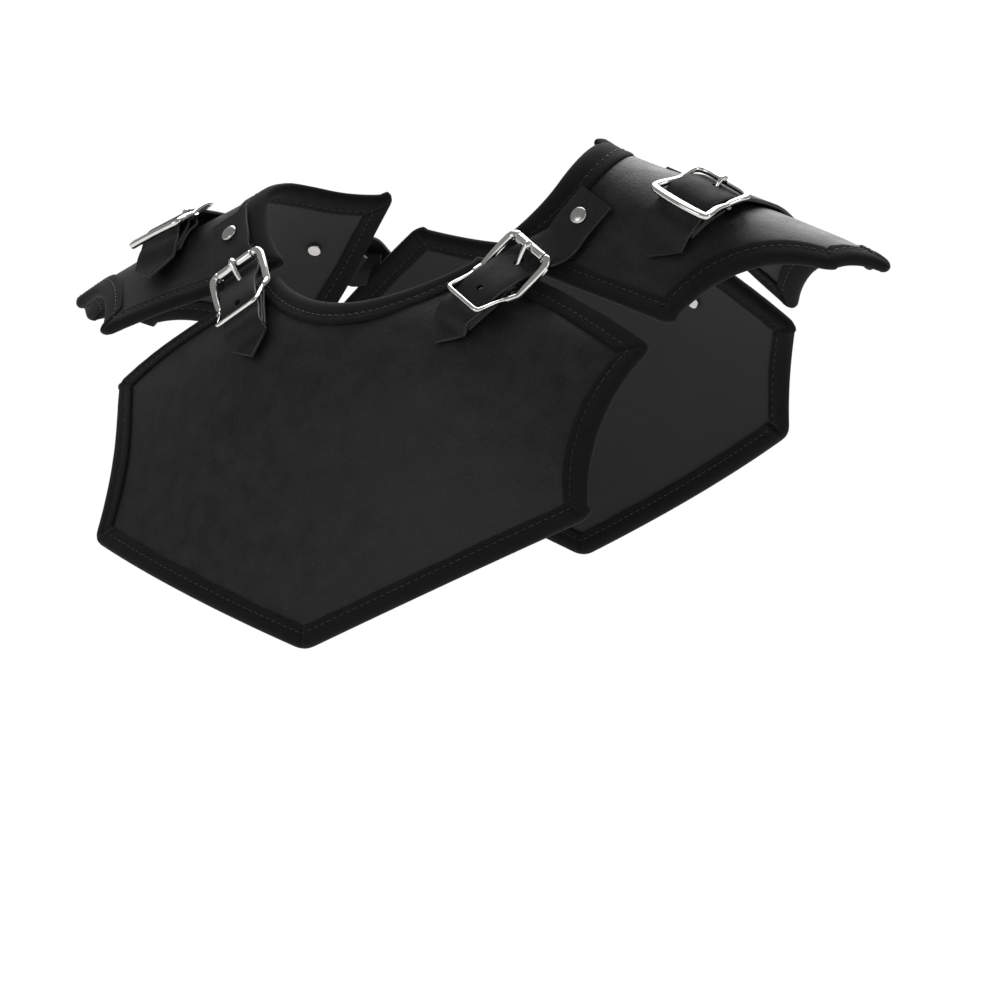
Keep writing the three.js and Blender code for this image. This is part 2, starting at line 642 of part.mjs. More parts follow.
// Heights of what lies on a plate, from the middle of the plate's leather.
const bindingTop = PLATE_THICKNESS / 2 + GAP + BINDING_THICKNESS;
const layerOn = (height, thickness) => height + GAP + thickness / 2;
const strapRest = layerOn(PLATE_THICKNESS / 2, STRAP_THICKNESS);
const strapOverBinding = layerOn(bindingTop, STRAP_THICKNESS) + BEND_EASE;
const chapeStack = (kind) => kind.barRadius + GAP + CHAPE_THICKNESS;
const strapOverBar = (kind) => layerOn(chapeStack(kind), STRAP_THICKNESS);

// Everything that one buckle holds: the buckle, its folded chape, and the strap that comes from its
// root rivet, over the bar and under both ends. line gives a point on the plate at a distance from the
// bar, positive towards the root. seat is the height of what the chape lies on, and root holds the
// strap's way down to the buckle, its rivet and the height of the strap's middle there.
function addBuckledStrap(side, name, kind, width, seat, line, plate, root) {
  const start = line(0, 0);
  const bar = line(0, seat + chapeStack(kind)).point;
  const place = placeOn(bar, line(1, 0).point.sub(line(-1, 0).point), start.normal);
  const half = width / 2;
  const nearBar = (y, z, halfWidth) => ({
    point: vec(0, y, z).applyMatrix4(place), normal: start.normal, half: halfWidth,
  });
  const onLine = (y, height, halfWidth) => ({ ...line(y, height), half: halfWidth });

  addMesh(`${name}_buckle_${side}`, buckleFrame(kind), nickel, place);
  addMesh(`${name}_prong_${side}`, prongSolid(kind), nickel, place);
  if (kind.rollerRadius) {
    const lifted = new THREE.Matrix4().makeTranslation(0, kind.rootEnd, kind.rootLift);
    addMesh(`${name}_roller_${side}`, rollerSolid(kind), nickel, place.clone().multiply(lifted));
  }

  const lower = seat + CHAPE_THICKNESS / 2;
  const upper = lower + CHAPE_THICKNESS + GAP;
  const chapeTop = upper + CHAPE_THICKNESS / 2;
  const loopRadius = chapeStack(kind) - CHAPE_THICKNESS / 2;
  const chapeHalf = half - CHAPE_INSET;
  const across = vec(1, 0, 0).transformDirection(place);
  const loop = CHAPE_LOOP.map((angle) =>
    nearBar(Math.cos(radians(angle)) * loopRadius, Math.sin(radians(angle)) * loopRadius, chapeHalf));
  const chape = strapSolid(
    [
      onLine(-kind.chape, lower, chapeHalf), onLine(-kind.chape / 2, lower, chapeHalf),
      onLine(-loopRadius * 1.5, lower, chapeHalf), ...loop, onLine(-loopRadius * 2, upper + GAP, chapeHalf),
      onLine(-CHAPE_RIVET + RIVET_HEAD / 2, upper, chapeHalf), onLine(-kind.chape, upper, chapeHalf),
    ].map((stop) => ({ ...stop, across })), CHAPE_THICKNESS, 1,
  );
  const slotWidth = 2 * (kind.prongRadius + GAP * 1.5);
  const slotLength = 2 * (chapeStack(kind) + GAP);
  const slot = moved(solidOf(new THREE.BoxGeometry(slotWidth, slotLength, slotLength)), place);
  const towardsRoot = vec(0, 1, 0).transformDirection(place);
  const rivetPlace = (at) => placeOn(at.point, towardsRoot, at.normal);
  const chapeRivet = rivetPlace(line(-CHAPE_RIVET, 0));
  addMesh(`${name}_chape_${side}`, chape.subtract(slot).subtract(rivetHole(chapeRivet)), blackLeather);
  plate.leather = plate.leather.subtract(rivetHole(chapeRivet));
  addRivet(`${name}_chape_rivet_${side}`, chapeRivet, chapeTop, CHAPE_RIVET_DOME);

  const under = (lift, radius, ease) => lift - layerOn(radius, STRAP_THICKNESS) - ease;
  const overBar = strapOverBar(kind);
  const lay = root.strapLay;
  const route = [
    ...root.stops.map((stop) => ({ ...stop, half })),
    nearBar(kind.rootEnd, under(kind.rootLift, kind.rollerRadius || kind.endRadius, BEND_EASE), half),
    nearBar(kind.barRadius, overBar, half), nearBar(-kind.tipEnd * 0.5, overBar, half),
    nearBar(-kind.tipEnd, under(kind.tipLift, kind.thinRadius, BEND_EASE * 2), half),
    onLine(-kind.chape - GAP, layerOn(chapeTop, STRAP_THICKNESS) + BEND_EASE, half),
    onLine(-kind.tongue + STRAP_POINT, lay + GAP + root.curl * CURL_START, half),
    onLine(-kind.tongue, lay + root.curl, half * POINT_SHARE),
  ];
  const hole = new THREE.Matrix4().makeTranslation(0, kind.barRadius * 2, 0);
  const punch = moved(rodSolid(kind.prongRadius * 2, 16, 8), place.clone().multiply(hole));
  const rootRivet = rivetPlace(root.rivet);
  root.plate.leather = root.plate.leather.subtract(rivetHole(rootRivet));
  const strap = strapSolid(route, STRAP_THICKNESS, 2).subtract(punch).subtract(rivetHole(rootRivet));
  addMesh(`${name}_strap_${side}`, strap, blackLeather);
  addRivet(`${name}_strap_rivet_${side}`, rootRivet, root.height + STRAP_THICKNESS / 2, 1);
}

const stopOn = (surface, x, y, height) => ({
  point: onSurface(surface, { x, y }, height), normal: surface.normal({ x, y }),
});

for (const side of SIDES) {
  const shoulder = plates[`shoulder_${side.name}`];
  const chestLine = (y, height) => stopOn(
    chestSurface, side.sign * (side.frontBar + FRONT_LINE.x * y), FRONT_BAR_DOWN + FRONT_LINE.y * y, height,
  );
  const rootStop = (y, height) => stopOn(
    shoulder.surface, side.frontRivet + FRONT_ROOT_LINE.x * y, FRONT_RIVET_ROUND + FRONT_ROOT_LINE.y * y, height,
  );
  addBuckledStrap(
    side.name, "front", FRONT_BUCKLE, FRONT_STRAP_WIDTH, bindingTop + GAP, chestLine, plates.chest, {
      stops: FRONT_ROOT_STOPS.map((y) => rootStop(y, strapOverBinding)),
      rivet: rootStop(0, 0), plate: shoulder, height: strapOverBinding, strapLay: strapRest + GAP, curl: FRONT_CURL,
    },
  );
  const shoulderLine = (y, height) =>
    stopOn(shoulder.surface, side.shoulderBar + side.shoulderSlant * y, side.shoulderBarRound + y, height);
  const rivetAt = SHOULDER_ROOT_STOPS[1];
  addBuckledStrap(
    side.name, "shoulder", SHOULDER_BUCKLE, SHOULDER_STRAP_WIDTH, PLATE_THICKNESS / 2 + BEND_EASE + GAP, shoulderLine,
    shoulder, {
      stops: SHOULDER_ROOT_STOPS.map((y) => shoulderLine(y, strapRest + BEND_EASE)),
      rivet: shoulderLine(rivetAt, 0), plate: shoulder, height: strapRest + BEND_EASE, strapLay: strapRest,
      curl: side.tongueCurl,
    },
  );
}

// The hidden straps that join the back plate to the shoulder plates, riveted at both ends.
for (const side of SIDES) {
  const shoulder = plates[`shoulder_${side.name}`];
  const upper = (along, height) => stopOn(
    shoulder.surface, BACK_STRAP_ROOT.x + along * BACK_STRAP_ROOT.slant, BACK_STRAP_ROOT.y + along, height,
  );
  const lower = (along, height) => stopOn(
    backSurface, -side.sign * (BACK_STRAP_END.x + along * BACK_STRAP_END.slant), BACK_STRAP_END.y - along,
    height,
  );
  const half = BACK_STRAP_WIDTH / 2;
  const route = [
    ...BACK_UPPER_STOPS.map((along) => upper(along, strapOverBinding)),
    ...BACK_LOWER_STOPS.map((stop) => lower(stop.along, strapOverBinding + stop.spring)),
  ].map((stop) => ({ ...stop, half }));
  let strap = strapSolid(route, STRAP_THICKNESS, 2);
  const ends = [
    { name: "upper", stop: upper(0, 0), plate: shoulder },
    { name: "lower", stop: lower(0, 0), plate: plates.back },
  ];
  for (const end of ends) {
    const at = placeOn(end.stop.point, vec(0, 0, 1), end.stop.normal);
    strap = strap.subtract(rivetHole(at));
    end.plate.leather = end.plate.leather.subtract(rivetHole(at));
    addRivet(`back_strap_${end.name}_rivet_${side.name}`, at, strapOverBinding + STRAP_THICKNESS / 2 + GAP, 1);
  }
  addMesh(`back_strap_${side.name}`, strap, blackLeather);
}

for (const [name, plate] of Object.entries(plates)) {
  const [where, side] = name.split("_");
  addMesh([where, "plate", side].filter(Boolean).join("_"), plate.leather, blackLeather);
  addMesh([where, "binding", side].filter(Boolean).join("_"), plate.binding, wovenTape);
}

export default gorget;
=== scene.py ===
import math

import bmesh
import bpy
from mathutils import Matrix, Vector, noise


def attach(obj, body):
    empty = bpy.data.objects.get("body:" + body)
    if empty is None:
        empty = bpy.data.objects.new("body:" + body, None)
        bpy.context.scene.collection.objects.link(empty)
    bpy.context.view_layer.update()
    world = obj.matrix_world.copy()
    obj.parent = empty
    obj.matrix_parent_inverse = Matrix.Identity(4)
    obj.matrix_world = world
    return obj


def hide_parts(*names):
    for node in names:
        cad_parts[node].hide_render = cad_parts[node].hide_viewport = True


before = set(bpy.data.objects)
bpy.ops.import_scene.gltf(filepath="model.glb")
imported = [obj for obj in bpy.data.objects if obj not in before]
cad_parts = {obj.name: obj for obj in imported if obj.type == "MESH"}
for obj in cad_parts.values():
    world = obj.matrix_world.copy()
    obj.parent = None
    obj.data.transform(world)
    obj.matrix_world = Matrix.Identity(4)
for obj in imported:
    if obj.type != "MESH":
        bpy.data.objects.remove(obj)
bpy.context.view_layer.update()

# A black leather gorget. Lengths are millimetres until a piece is finished, +Z is up, the wearer
# faces -Y and the wearer's left is +X.
MM = 0.001

# Camera: where it stands and how it is turned, with a long lens, a little below the neck.
CAMERA_AT = (1.4810, -1.9896, -0.2149)
CAMERA_RIGHT = (0.80902, 0.58779, 0.0)
CAMERA_BACK = (0.58755, -0.80869, -0.02827)
LENS = 200
SENSOR = 36
# The floor: its height and half its width in metres, and its paper's mottle in millimetres.
FLOOR_Z = -0.62
FLOOR_SIZE = 40
FLOOR_MOTTLE = 1000 / 3
# Light from the surround and from overhead, which makes the floor as white as the surround.
SURROUND_LIGHT = 0.33
OVERHEAD_LIGHT = 3.1
OVERHEAD_SPREAD = 60
OVERHEAD_TILT = (-28, -14, 0)
# Soft boxes: where each stands, its width and height in metres and its power in watts.
LIT_POINT = (0, 0, -0.09)
SOFT_BOXES = {
    "front_left_box": ((-0.7, -2.2, 0.6), (0.8, 0.8), 6),
    "right_box": ((2.3, -0.3, 0.6), (0.8, 1.5), 7),
    "back_box": ((-0.6, 2.0, 1.0), (1.8, 0.7), 7),
}

# Leather, binding and clearances.
PLATE_THICKNESS = 2.4
STRAP_THICKNESS = 1.8
CHAPE_THICKNESS = 1.4
BINDING_THICKNESS = 1.1
GAP = 0.3
BEND_EASE = 0.6
FACET_EASE = 0.5
CORNER_ROUND = 5

# Shoulder plates.
NECK_HALF_WIDTH = 88
RIDGE_BACK = 4
RIDGE_HEIGHT = 8
SHOULDER_LENGTH = 151
SHOULDER_SLOPE = 20.5
SHOULDER_SWEEP = 7
SHOULDER_DROOP = 6
SHOULDER_REACH = 78
SHOULDER_ARCH = 46

# Chest plate and back plate.
CHEST = dict(facing=-1, top=62, stand=58, height=156, half_width=152, bend=350, roll=-1.4)
BACK = dict(facing=1, top=6, stand=64, height=176, half_width=140, bend=400, roll=0)

# Straps, rivets and the two kinds of centre-bar buckle. A buckle's ends are distances from its bar.
FRONT_STRAP_WIDTH = 20
SHOULDER_STRAP_WIDTH = 25
BACK_STRAP_WIDTH = 18
STRAP_POINT = 9
POINT_SHARE = 0.08
CHAPE_RIVET = 10
CHAPE_INSET = 0.5
CHAPE_LOOP = (-90, -65, -40, -15, 10, 35, 60, 85, 110)
RIVET_HEAD = 8
RIVET_SHANK = 3
RIVET_DOME = 1.9
RIVET_WASHER = 1
CHAPE_RIVET_DOME = 0.35
FRONT_BUCKLE = dict(
    width=28, root_end=19, tip_end=18, root_lift=6.2, tip_lift=5.2,
    thick=1.8, end=1.4, thin=1.1, bar=1.3, prong=1.1, roller=2.4, roller_length=19.4, chape=24,
    tongue=37, hole=10.8, dome=0.6,
)
SHOULDER_BUCKLE = dict(
    width=32, root_end=13, tip_end=14, root_lift=1.8, tip_lift=4.2,
    thick=1.6, end=1.6, thin=2, bar=1.3, prong=1.1, roller=0, chape=17, tongue=33, hole=7.6, dome=2.6,
)
FRONT_BAR_DOWN = -7.5
FRONT_LINE = (0.55, -0.835)
FRONT_RIVET_ROUND = -44
FRONT_ROOT_LINE = (0.25, 0.97)
FRONT_ROOT_STOPS = (11, 0, -6, -14)
SHOULDER_ROOT_STOPS = (58, 49, 36, 24)
BACK_STRAP_ROOT = dict(x=26, y=36, slant=-0.1)
BACK_STRAP_END = dict(x=80, y=59, slant=0.65)
BACK_UPPER_STOPS = (-8, 0, 13, 26)
BACK_LOWER_STOPS = ((27, 5.5), (13, 1.2), (0, 0), (-8, 0))
FRONT_CURL = 1.5
CURL_START = 0.8

CHEST_PROFILE = [
    dict(down=-0.25, lean=40, bend=0.62),
    dict(down=0, lean=36, bend=0.72),
    dict(down=0.1, lean=28, bend=0.86),
    dict(down=0.2, lean=18, bend=1),
    dict(down=0.4, lean=12, bend=1.25),
    dict(down=0.7, lean=9, bend=1.75),
    dict(down=1, lean=7, bend=2),
]
BACK_PROFILE = [
    dict(down=-0.2, lean=50, bend=0.5),
    dict(down=0, lean=46, bend=0.6),
    dict(down=0.2, lean=34, bend=0.8),
    dict(down=0.5, lean=14, bend=1.2),
    dict(down=0.8, lean=2, bend=1.5),
    dict(down=1.1, lean=-4, bend=1.7),
]
SHOULDER_PROFILE = [
    dict(out=-0.15, droop=0, front=0.5, front_lean=76, back=1.5, back_lean=6),
    dict(out=0.05, droop=0, front=0.56, front_lean=71, back=1.4, back_lean=16),
    dict(out=0.35, droop=0, front=0.75, front_lean=65, back=1.2, back_lean=40),
    dict(out=0.6, droop=0, front=0.78, front_lean=59, back=1.1, back_lean=50),
    dict(out=0.84, droop=0.15, front=0.65, front_lean=53, back=0.9, back_lean=50),
    dict(out=1.05, droop=1, front=0.5, front_lean=50, back=0.8, back_lean=50),
]
# Corners as shares of the plates' sizes, and how far the edge to the next one bulges.
CHEST_CORNERS = [
    (0, 1, 0.005), (0.9, 0.66, -0.115), (1, 0.18, 0.02), (0.38, -0.16, -0.19),
    (-0.38, -0.16, 0.02), (-1, 0.18, -0.115), (-0.9, 0.66, 0.005),
]
BACK_CORNERS = [
    (0, 1, 0.005), (0.88, 0.7, -0.07), (1, 0.42, 0.01), (0.44, 0.08, -0.1),
    (-0.44, 0.08, 0.01), (-1, 0.42, -0.07), (-0.88, 0.7, 0.005),
]
SHOULDER_CORNERS = [
    (1, 0, -0.06), (0.88, 0.32, -0.15), (0.55, 1.05, 0.01), (-0.16, 0.5, -0.2),
    (-0.14, -0.88, 0.01), (0.55, -1, -0.15), (0.88, -0.3, -0.06),
]
# Where each shoulder plate and its buckles sit. The plates share a pattern but are worn differently.
SIDES = [
    dict(name="left", sign=1, front_down=3, tip_down=0.5, slip_back=0, slip_down=0, front_bar=74,
         front_rivet=18, front_shift=(2.0, -2.0), front_turn=-4, shoulder_bar=65.5,
         shoulder_bar_round=-19.5, shoulder_slant=0.22, tongue_curl=1),
    dict(name="right", sign=-1, front_down=-11, tip_down=-1.3, slip_back=7, slip_down=8.5, front_bar=65.5,
         front_rivet=12.2, front_shift=(0, 0), front_turn=0, shoulder_bar=55,
         shoulder_bar_round=-24, shoulder_slant=-0.04, tongue_curl=4),
]

# Where the front strap's next hole is, past the bar.
SPARE_HOLE = -10

# How finely the pieces are drawn.
LEATHER_STEP = 3.0
OUTLINE_STEP = 3.0
ROUND_POINTS = 6
STRAP_STEP = 1.2
# Edges sharper than this many degrees are shaded as edges, unless a piece says otherwise.
SHARP_ANGLE = 35

# The binding's section on the outer side, from its inner lip to the fold: distance in from the
# plate's edge, and height over the middle of the leather. The dip is where it is stitched.
BINDING_SECTION = [
    (10.0, 1.36), (10.08, 1.75), (9.8, 2.15), (9.2, 2.36), (8.2, 2.42), (7.3, 2.34), (6.7, 2.26),
    (6.1, 2.36), (5.0, 2.62), (3.6, 2.82), (2.2, 2.72), (1.1, 2.2), (0.4, 1.5), (0.05, 0.7),
]
BINDING_INSIDE = [(9.8, -1.3), (1.6, -1.3), (1.6, 1.3), (9.8, 1.3)]
# The tape's overlap at a mitre: how far it reaches, and its ridge and crease across the mitre line.
FOLD_REACH = 14
FOLD_LIFTS = ((1.6, 1.5, 0.42), (0, 0.7, -0.5))
# Handling waves in the leather: length along and across, a seed and a height.
WAVES = ((46, 34, 1.7, 0.9), (17, 26, 8.1, 0.22))
# How far the inner lip of the tape strays along its way, slowly and quickly, and how it puffs up.
LIP_DRIFT = ((1, 0.45), (5, 0.12))
TAPE_PUFF = 0.16

STITCH_INSET = 6.7
STITCH_PITCH = 3.6
STITCH_LENGTH = 2.7
THREAD_RADIUS = 0.26
STITCH_HEIGHT = 2.26 + THREAD_RADIUS * 0.55
# One stitch: places along it, how far it sinks there and the share of the thread's radius.
STITCH_SHAPE = ((-0.5, 0.42, 0.5), (-0.3, 0.06, 0.95), (0, 0, 1), (0.3, 0.06, 0.95), (0.5, 0.42, 0.5))


def read_table(rows, key, at):
    """A smooth reading of a table at one value of its key column."""
    i = 0
    while i < len(rows) - 2 and at >= rows[i + 1][key]:
        i += 1
    a, b = rows[i], rows[i + 1]
    before, after = rows[max(0, i - 1)], rows[min(len(rows) - 1, i + 2)]
    span = b[key] - a[key]
    f = min(1.0, max(0.0, (at - a[key]) / span))
    read = {}
    for column in a:
        slope_a = (b[column] - before[column]) / (b[key] - before[key]) * span
        slope_b = (after[column] - a[column]) / (after[key] - a[key]) * span
        read[column] = (
            (2 * f**3 - 3 * f * f + 1) * a[column] + (f**3 - 2 * f * f + f) * slope_a
            + (3 * f * f - 2 * f**3) * b[column] + (f**3 - f * f) * slope_b
        )
    return read


class Surface:
    """Turns flat pattern coordinates into a point, with a normal that faces outwards."""

    def __init__(self, at, outwards):
        self.at = at
        self.outwards = outwards

    def normal(self, x, y):
        across = self.at(x + 0.5, y) - self.at(x - 0.5, y)
        down = self.at(x, y + 0.5) - self.at(x, y - 0.5)
        return down.cross(across).normalized() * self.outwards

    def on(self, x, y, height):
        return self.at(x, y) + self.normal(x, y) * height


def torso_surface(profile, plate):
    """A chest or back plate: x round its bend, y down its middle from the neckline."""
    height, facing = plate["height"], plate["facing"]
    start, step, count = 0.5, 0.02, 91
    line = []
    f = z = 0.0
    for k in range(count):
        line.append((f, z))
        lean = math.radians(read_table(profile, "down", (k + 0.5) * step - start)["lean"])
        f += math.sin(lean) * step
        z -= math.cos(lean) * step
    zero = line[round(start / step)]
    tip = Matrix.Translation((0, 0, -plate["top"] - height))
    turn = tip @ Matrix.Rotation(math.radians(plate["roll"]), 4, "Y") @ tip.inverted()

    def at(x, y):
        s = y / height
        k = min(count - 1.001, max(0, (s + start) / step))
        a, b = line[int(k)], line[int(k) + 1]
        f = a[0] + (b[0] - a[0]) * (k % 1) - zero[0]
        z = a[1] + (b[1] - a[1]) * (k % 1) - zero[1]
        radius = read_table(profile, "down", s)["bend"] * plate["bend"]
        angle = x / radius
        forward = facing * (plate["stand"] + f * height - radius * (1 - math.cos(angle)))
        return turn @ Vector((radius * math.sin(angle) * -facing, forward, z * height - plate["top"]))

    return Surface(at, 1)


def shoulder_surface(side):
    """A shoulder plate: x outwards along the ridge, y round the arch with the front below zero."""
    slope = math.radians(SHOULDER_SLOPE + side["tip_down"])
    sweep = math.radians(SHOULDER_SWEEP)
    pitch = math.radians(side["front_down"])

    def at(x, y):
        row = read_table(SHOULDER_PROFILE, "out", x / SHOULDER_LENGTH)
        front = y < 0
        radius = SHOULDER_ARCH * (row["front"] if front else row["back"])
        lean = math.radians(row["front_lean"] if front else row["back_lean"])
        length = abs(y)
        sign = math.copysign(1, lean)
        turned = sign * min(length / radius, abs(lean))
        leg = max(0, length - radius * abs(lean))
        reach = radius * math.sin(abs(turned)) + leg * math.cos(lean)
        fall = sign * radius * (1 - math.cos(turned)) + leg * math.sin(lean)
        forward = -reach if front else reach
        back = forward * math.cos(pitch) + fall * math.sin(pitch)
        down = fall * math.cos(pitch) - forward * math.sin(pitch) + row["droop"] * SHOULDER_DROOP
        outwards = x * math.cos(slope) - down * math.sin(slope)
        return Vector((
            side["sign"] * (NECK_HALF_WIDTH + outwards * math.cos(sweep) - back * math.sin(sweep)),
            RIDGE_BACK + side["slip_back"] + outwards * math.sin(sweep) + back * math.cos(sweep),
            RIDGE_HEIGHT - side["slip_down"] - x * math.sin(slope) - down * math.cos(slope),
        ))

    return Surface(at, -side["sign"])


class Outline:
    """A plate's closed edge in its pattern, which can be read at any distance in from the edge."""

    def __init__(self, corners):
        self.corners = [Vector(c[:2]) for c in corners]
        count = len(corners)
        pairs = [(self.corners[i], self.corners[(i + 1) % count]) for i in range(count)]
        self.turn = math.copysign(1, sum(a.x * b.y - b.x * a.y for a, b in pairs))
        self.edges = []
        for (a, b), corner in zip(pairs, corners):
            chord = b - a
            half = 2 * math.atan(2 * corner[2]) * self.turn
            self.edges.append((chord, half, max(4, round(chord.length / OUTLINE_STEP))))
        self.mitres = []
        for i in range(count):
            arriving = self.rotated(self.edges[i - 1][0].normalized(), self.edges[i - 1][1])
            leaving = self.rotated(self.edges[i][0].normalized(), -self.edges[i][1])
            mitre = self.inward(arriving) + self.inward(leaving)
            self.mitres.append(mitre * (2 / mitre.length_squared))

    @staticmethod
    def rotated(v, angle):
        c, s = math.cos(angle), math.sin(angle)
        return Vector((v.x * c - v.y * s, v.x * s + v.y * c))

    def inward(self, v):
        return Vector((-v.y, v.x)) * self.turn

    def points(self, inset):
        count = len(self.corners)
        inner = [c + m * inset for c, m in zip(self.corners, self.mitres)]
        outline = []
        for i, start in enumerate(inner):
            end, following = inner[(i + 1) % count], inner[(i + 2) % count]
            _, half, steps = self.edges[i]
            span = (end - start).length
            normal = self.inward((end - start) / span) * (-span * math.tan(half / 2) * 0.5 * self.turn)
            corner = max(CORNER_ROUND - inset, 0.6)
            cut = corner / span
            for k in range(steps + 1):
                t = k / steps
                eased = t * 0.35 + 0.65 * (0.5 - 0.5 * math.cos(math.pi * t))
                f = cut + (1 - 2 * cut) * eased
                outline.append(start.lerp(end, f) + normal * (4 * f * (1 - f)))
            arrive = outline[-1]
            leave = end + (following - end).normalized() * corner
            for k in range(1, ROUND_POINTS):
                f = k / ROUND_POINTS
                outline.append(arrive.lerp(end, f).lerp(end.lerp(leave, f), f))
        return outline

    def fold(self, point, inset):
        """Height of the folded tape's overlap near a corner, from the mitre line outwards."""
        height = 0.0
        for corner, mitre in zip(self.corners, self.mitres):
            away = point - (corner + mitre * inset)
            if away.length > FOLD_REACH:
                continue
            across = away.x * mitre.y - away.y * mitre.x
            side = across / mitre.length * self.turn
            for place, width, lift in FOLD_LIFTS:
                height += lift * math.exp(-((side - place) / width) ** 2)
        return height


def inside(point, outline):
    """Whether a pattern point lies within a closed outline."""
    within = False
    for i, a in enumerate(outline):
        b = outline[i - 1]
        if (a.y > point.y) != (b.y > point.y):
            if point.x < (b.x - a.x) * (point.y - a.y) / (b.y - a.y) + a.x:
                within = not within
    return within


def nearest(point, outline):
    """The nearest place to a pattern point on a closed outline."""
    best = None
    for i, a in enumerate(outline):
        along = outline[i - 1] - a
        f = min(1, max(0, (point - a).dot(along) / max(along.length_squared, 1e-9)))
        at = a + along * f
        away = (point - at).length_squared
        if best is None or away < best[0]:
            best = (away, at)
    return best[1]


# Mesh tools.
def bent_grid(bm, columns, rows, place, painted=()):
    """A grid of quads with each corner put where place(column, row) says, and its seams merged. The
    painted columns take the second material."""
    made = bmesh.ops.create_grid(bm, x_segments=columns, y_segments=rows, size=1)["verts"]
    if painted:
        for face in bm.faces:
            face.material_index = int(int((face.calc_center_median().x + 1) / 2 * columns) in painted)
    for v in made:
        v.co = place(round((v.co.x + 1) / 2 * columns), round((v.co.y + 1) / 2 * rows))
    bmesh.ops.remove_doubles(bm, verts=made, dist=1e-4)


def tube(bm, rings, closed=False, painted=()):
    """A skin over a row of closed rings of points, capped at both ends unless it closes on itself."""
    around, along = len(rings[0]), len(rings)
    rows = along if closed else along - 1
    bent_grid(bm, around, rows, lambda i, j: rings[j % along][i % around], painted)
    if not closed:
        open_edges = [e for e in bm.edges if e.is_boundary]
        for face in bmesh.ops.holes_fill(bm, edges=open_edges, sides=0)["faces"]:
            face.material_index = int(bool(painted))


def finish_piece(bm, name, materials, nodes=(), sharp=SHARP_ANGLE):
    """Makes an object of a mesh in millimetres, sets its finish and hides the CAD parts it stands for."""
    bmesh.ops.recalc_face_normals(bm, faces=bm.faces)
    bmesh.ops.scale(bm, vec=(MM,) * 3, verts=bm.verts)
    mesh = bpy.data.meshes.new(name)
    bm.to_mesh(mesh)
    bm.free()
    for material in materials:
        mesh.materials.append(material)
    mesh.shade_smooth()
    mesh.set_sharp_from_angle(angle=math.radians(sharp))
    piece = bpy.data.objects.new(name, mesh)
    bpy.context.scene.collection.objects.link(piece)
    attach(piece, "root")
    if nodes:
        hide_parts(*nodes)
    return piece


def cut_holes(piece, cutters):
    """Cuts tools out of a piece with the Boolean modifier, and applies it."""
    bm = bmesh.new()
    for cutter in cutters:
        cutter(bm)
    bmesh.ops.recalc_face_normals(bm, faces=bm.faces)
    bmesh.ops.scale(bm, vec=(MM,) * 3, verts=bm.verts)
    mesh = bpy.data.meshes.new("cutter")
    bm.to_mesh(mesh)
    bm.free()
    tool = bpy.data.objects.new("cutter", mesh)
    bpy.context.scene.collection.objects.link(tool)
    modifier = piece.modifiers.new("holes", "BOOLEAN")
    modifier.object = tool
    modifier.operation = "DIFFERENCE"
    modifier.solver = "EXACT"
    depsgraph = bpy.context.evaluated_depsgraph_get()
    result = bpy.data.meshes.new_from_object(piece.evaluated_get(depsgraph))
    piece.modifiers.clear()
    old = piece.data
    piece.data = result
    result.name = old.name
    bpy.data.meshes.remove(old)
    bpy.data.objects.remove(tool)
    bpy.data.meshes.remove(mesh)
    result.shade_smooth()
    result.set_sharp_from_angle(angle=math.radians(SHARP_ANGLE))


# Materials.
def srgb(code):
    """A colour written as sRGB hex, as linear RGBA."""
    parts = [int(code[i:i + 2], 16) / 255 for i in (1, 3, 5)]
    linear = [c / 12.92 if c <= 0.04045 else ((c + 0.055) / 1.055) ** 2.4 for c in parts]
    return (*linear, 1.0)


def connect(tree, node, inputs):
    """Sets or links a node's inputs."""
    for key, value in inputs.items():
        socket = node.inputs[key]
        if isinstance(value, bpy.types.NodeSocket):
            tree.links.new(value, socket)
        else:
            socket.default_value = value


def add(tree, kind, inputs=None, **settings):
    """Adds a shader node with its settings and inputs."""
    node = tree.nodes.new(kind)
    for key, value in settings.items():
        setattr(node, key, value)
    connect(tree, node, inputs or {})
    return node


def cloud(tree, place, size, detail):
    """Noise with blobs of a size in millimetres."""
    inputs = {"Vector": place, "Scale": 1 / (size * MM), "Detail": detail}
    return add(tree, "ShaderNodeTexNoise", inputs).outputs["Fac"]


def calculate(tree, operation, *values):
    return add(tree, "ShaderNodeMath", dict(enumerate(values)), operation=operation).outputs[0]


def spread(tree, value, start, end, low=0.0, high=1.0):
    """Maps values between start and end onto low to high."""
    inputs = {"Value": value, "From Min": start, "From Max": end, "To Min": low, "To Max": high}
    return add(tree, "ShaderNodeMapRange", inputs).outputs[0]


def blend(tree, factor, dark, light):
    return add(tree, "ShaderNodeMix", {0: factor, 6: dark, 7: light}, data_type="RGBA").outputs[2]


def relief(tree, height, strength, depth, under=None):
    """A bump with a depth in millimetres, over another one where there is one."""
    inputs = {"Height": height, "Strength": strength, "Distance": depth * MM}
    if under:
        inputs["Normal"] = under
    return add(tree, "ShaderNodeBump", inputs).outputs["Normal"]


def new_material(name):
    material = bpy.data.materials.new(name)
    material.use_nodes = True
    tree = material.node_tree
    place = add(tree, "ShaderNodeTexCoord").outputs["Object"]
    return material, tree, tree.nodes["Principled BSDF"], place


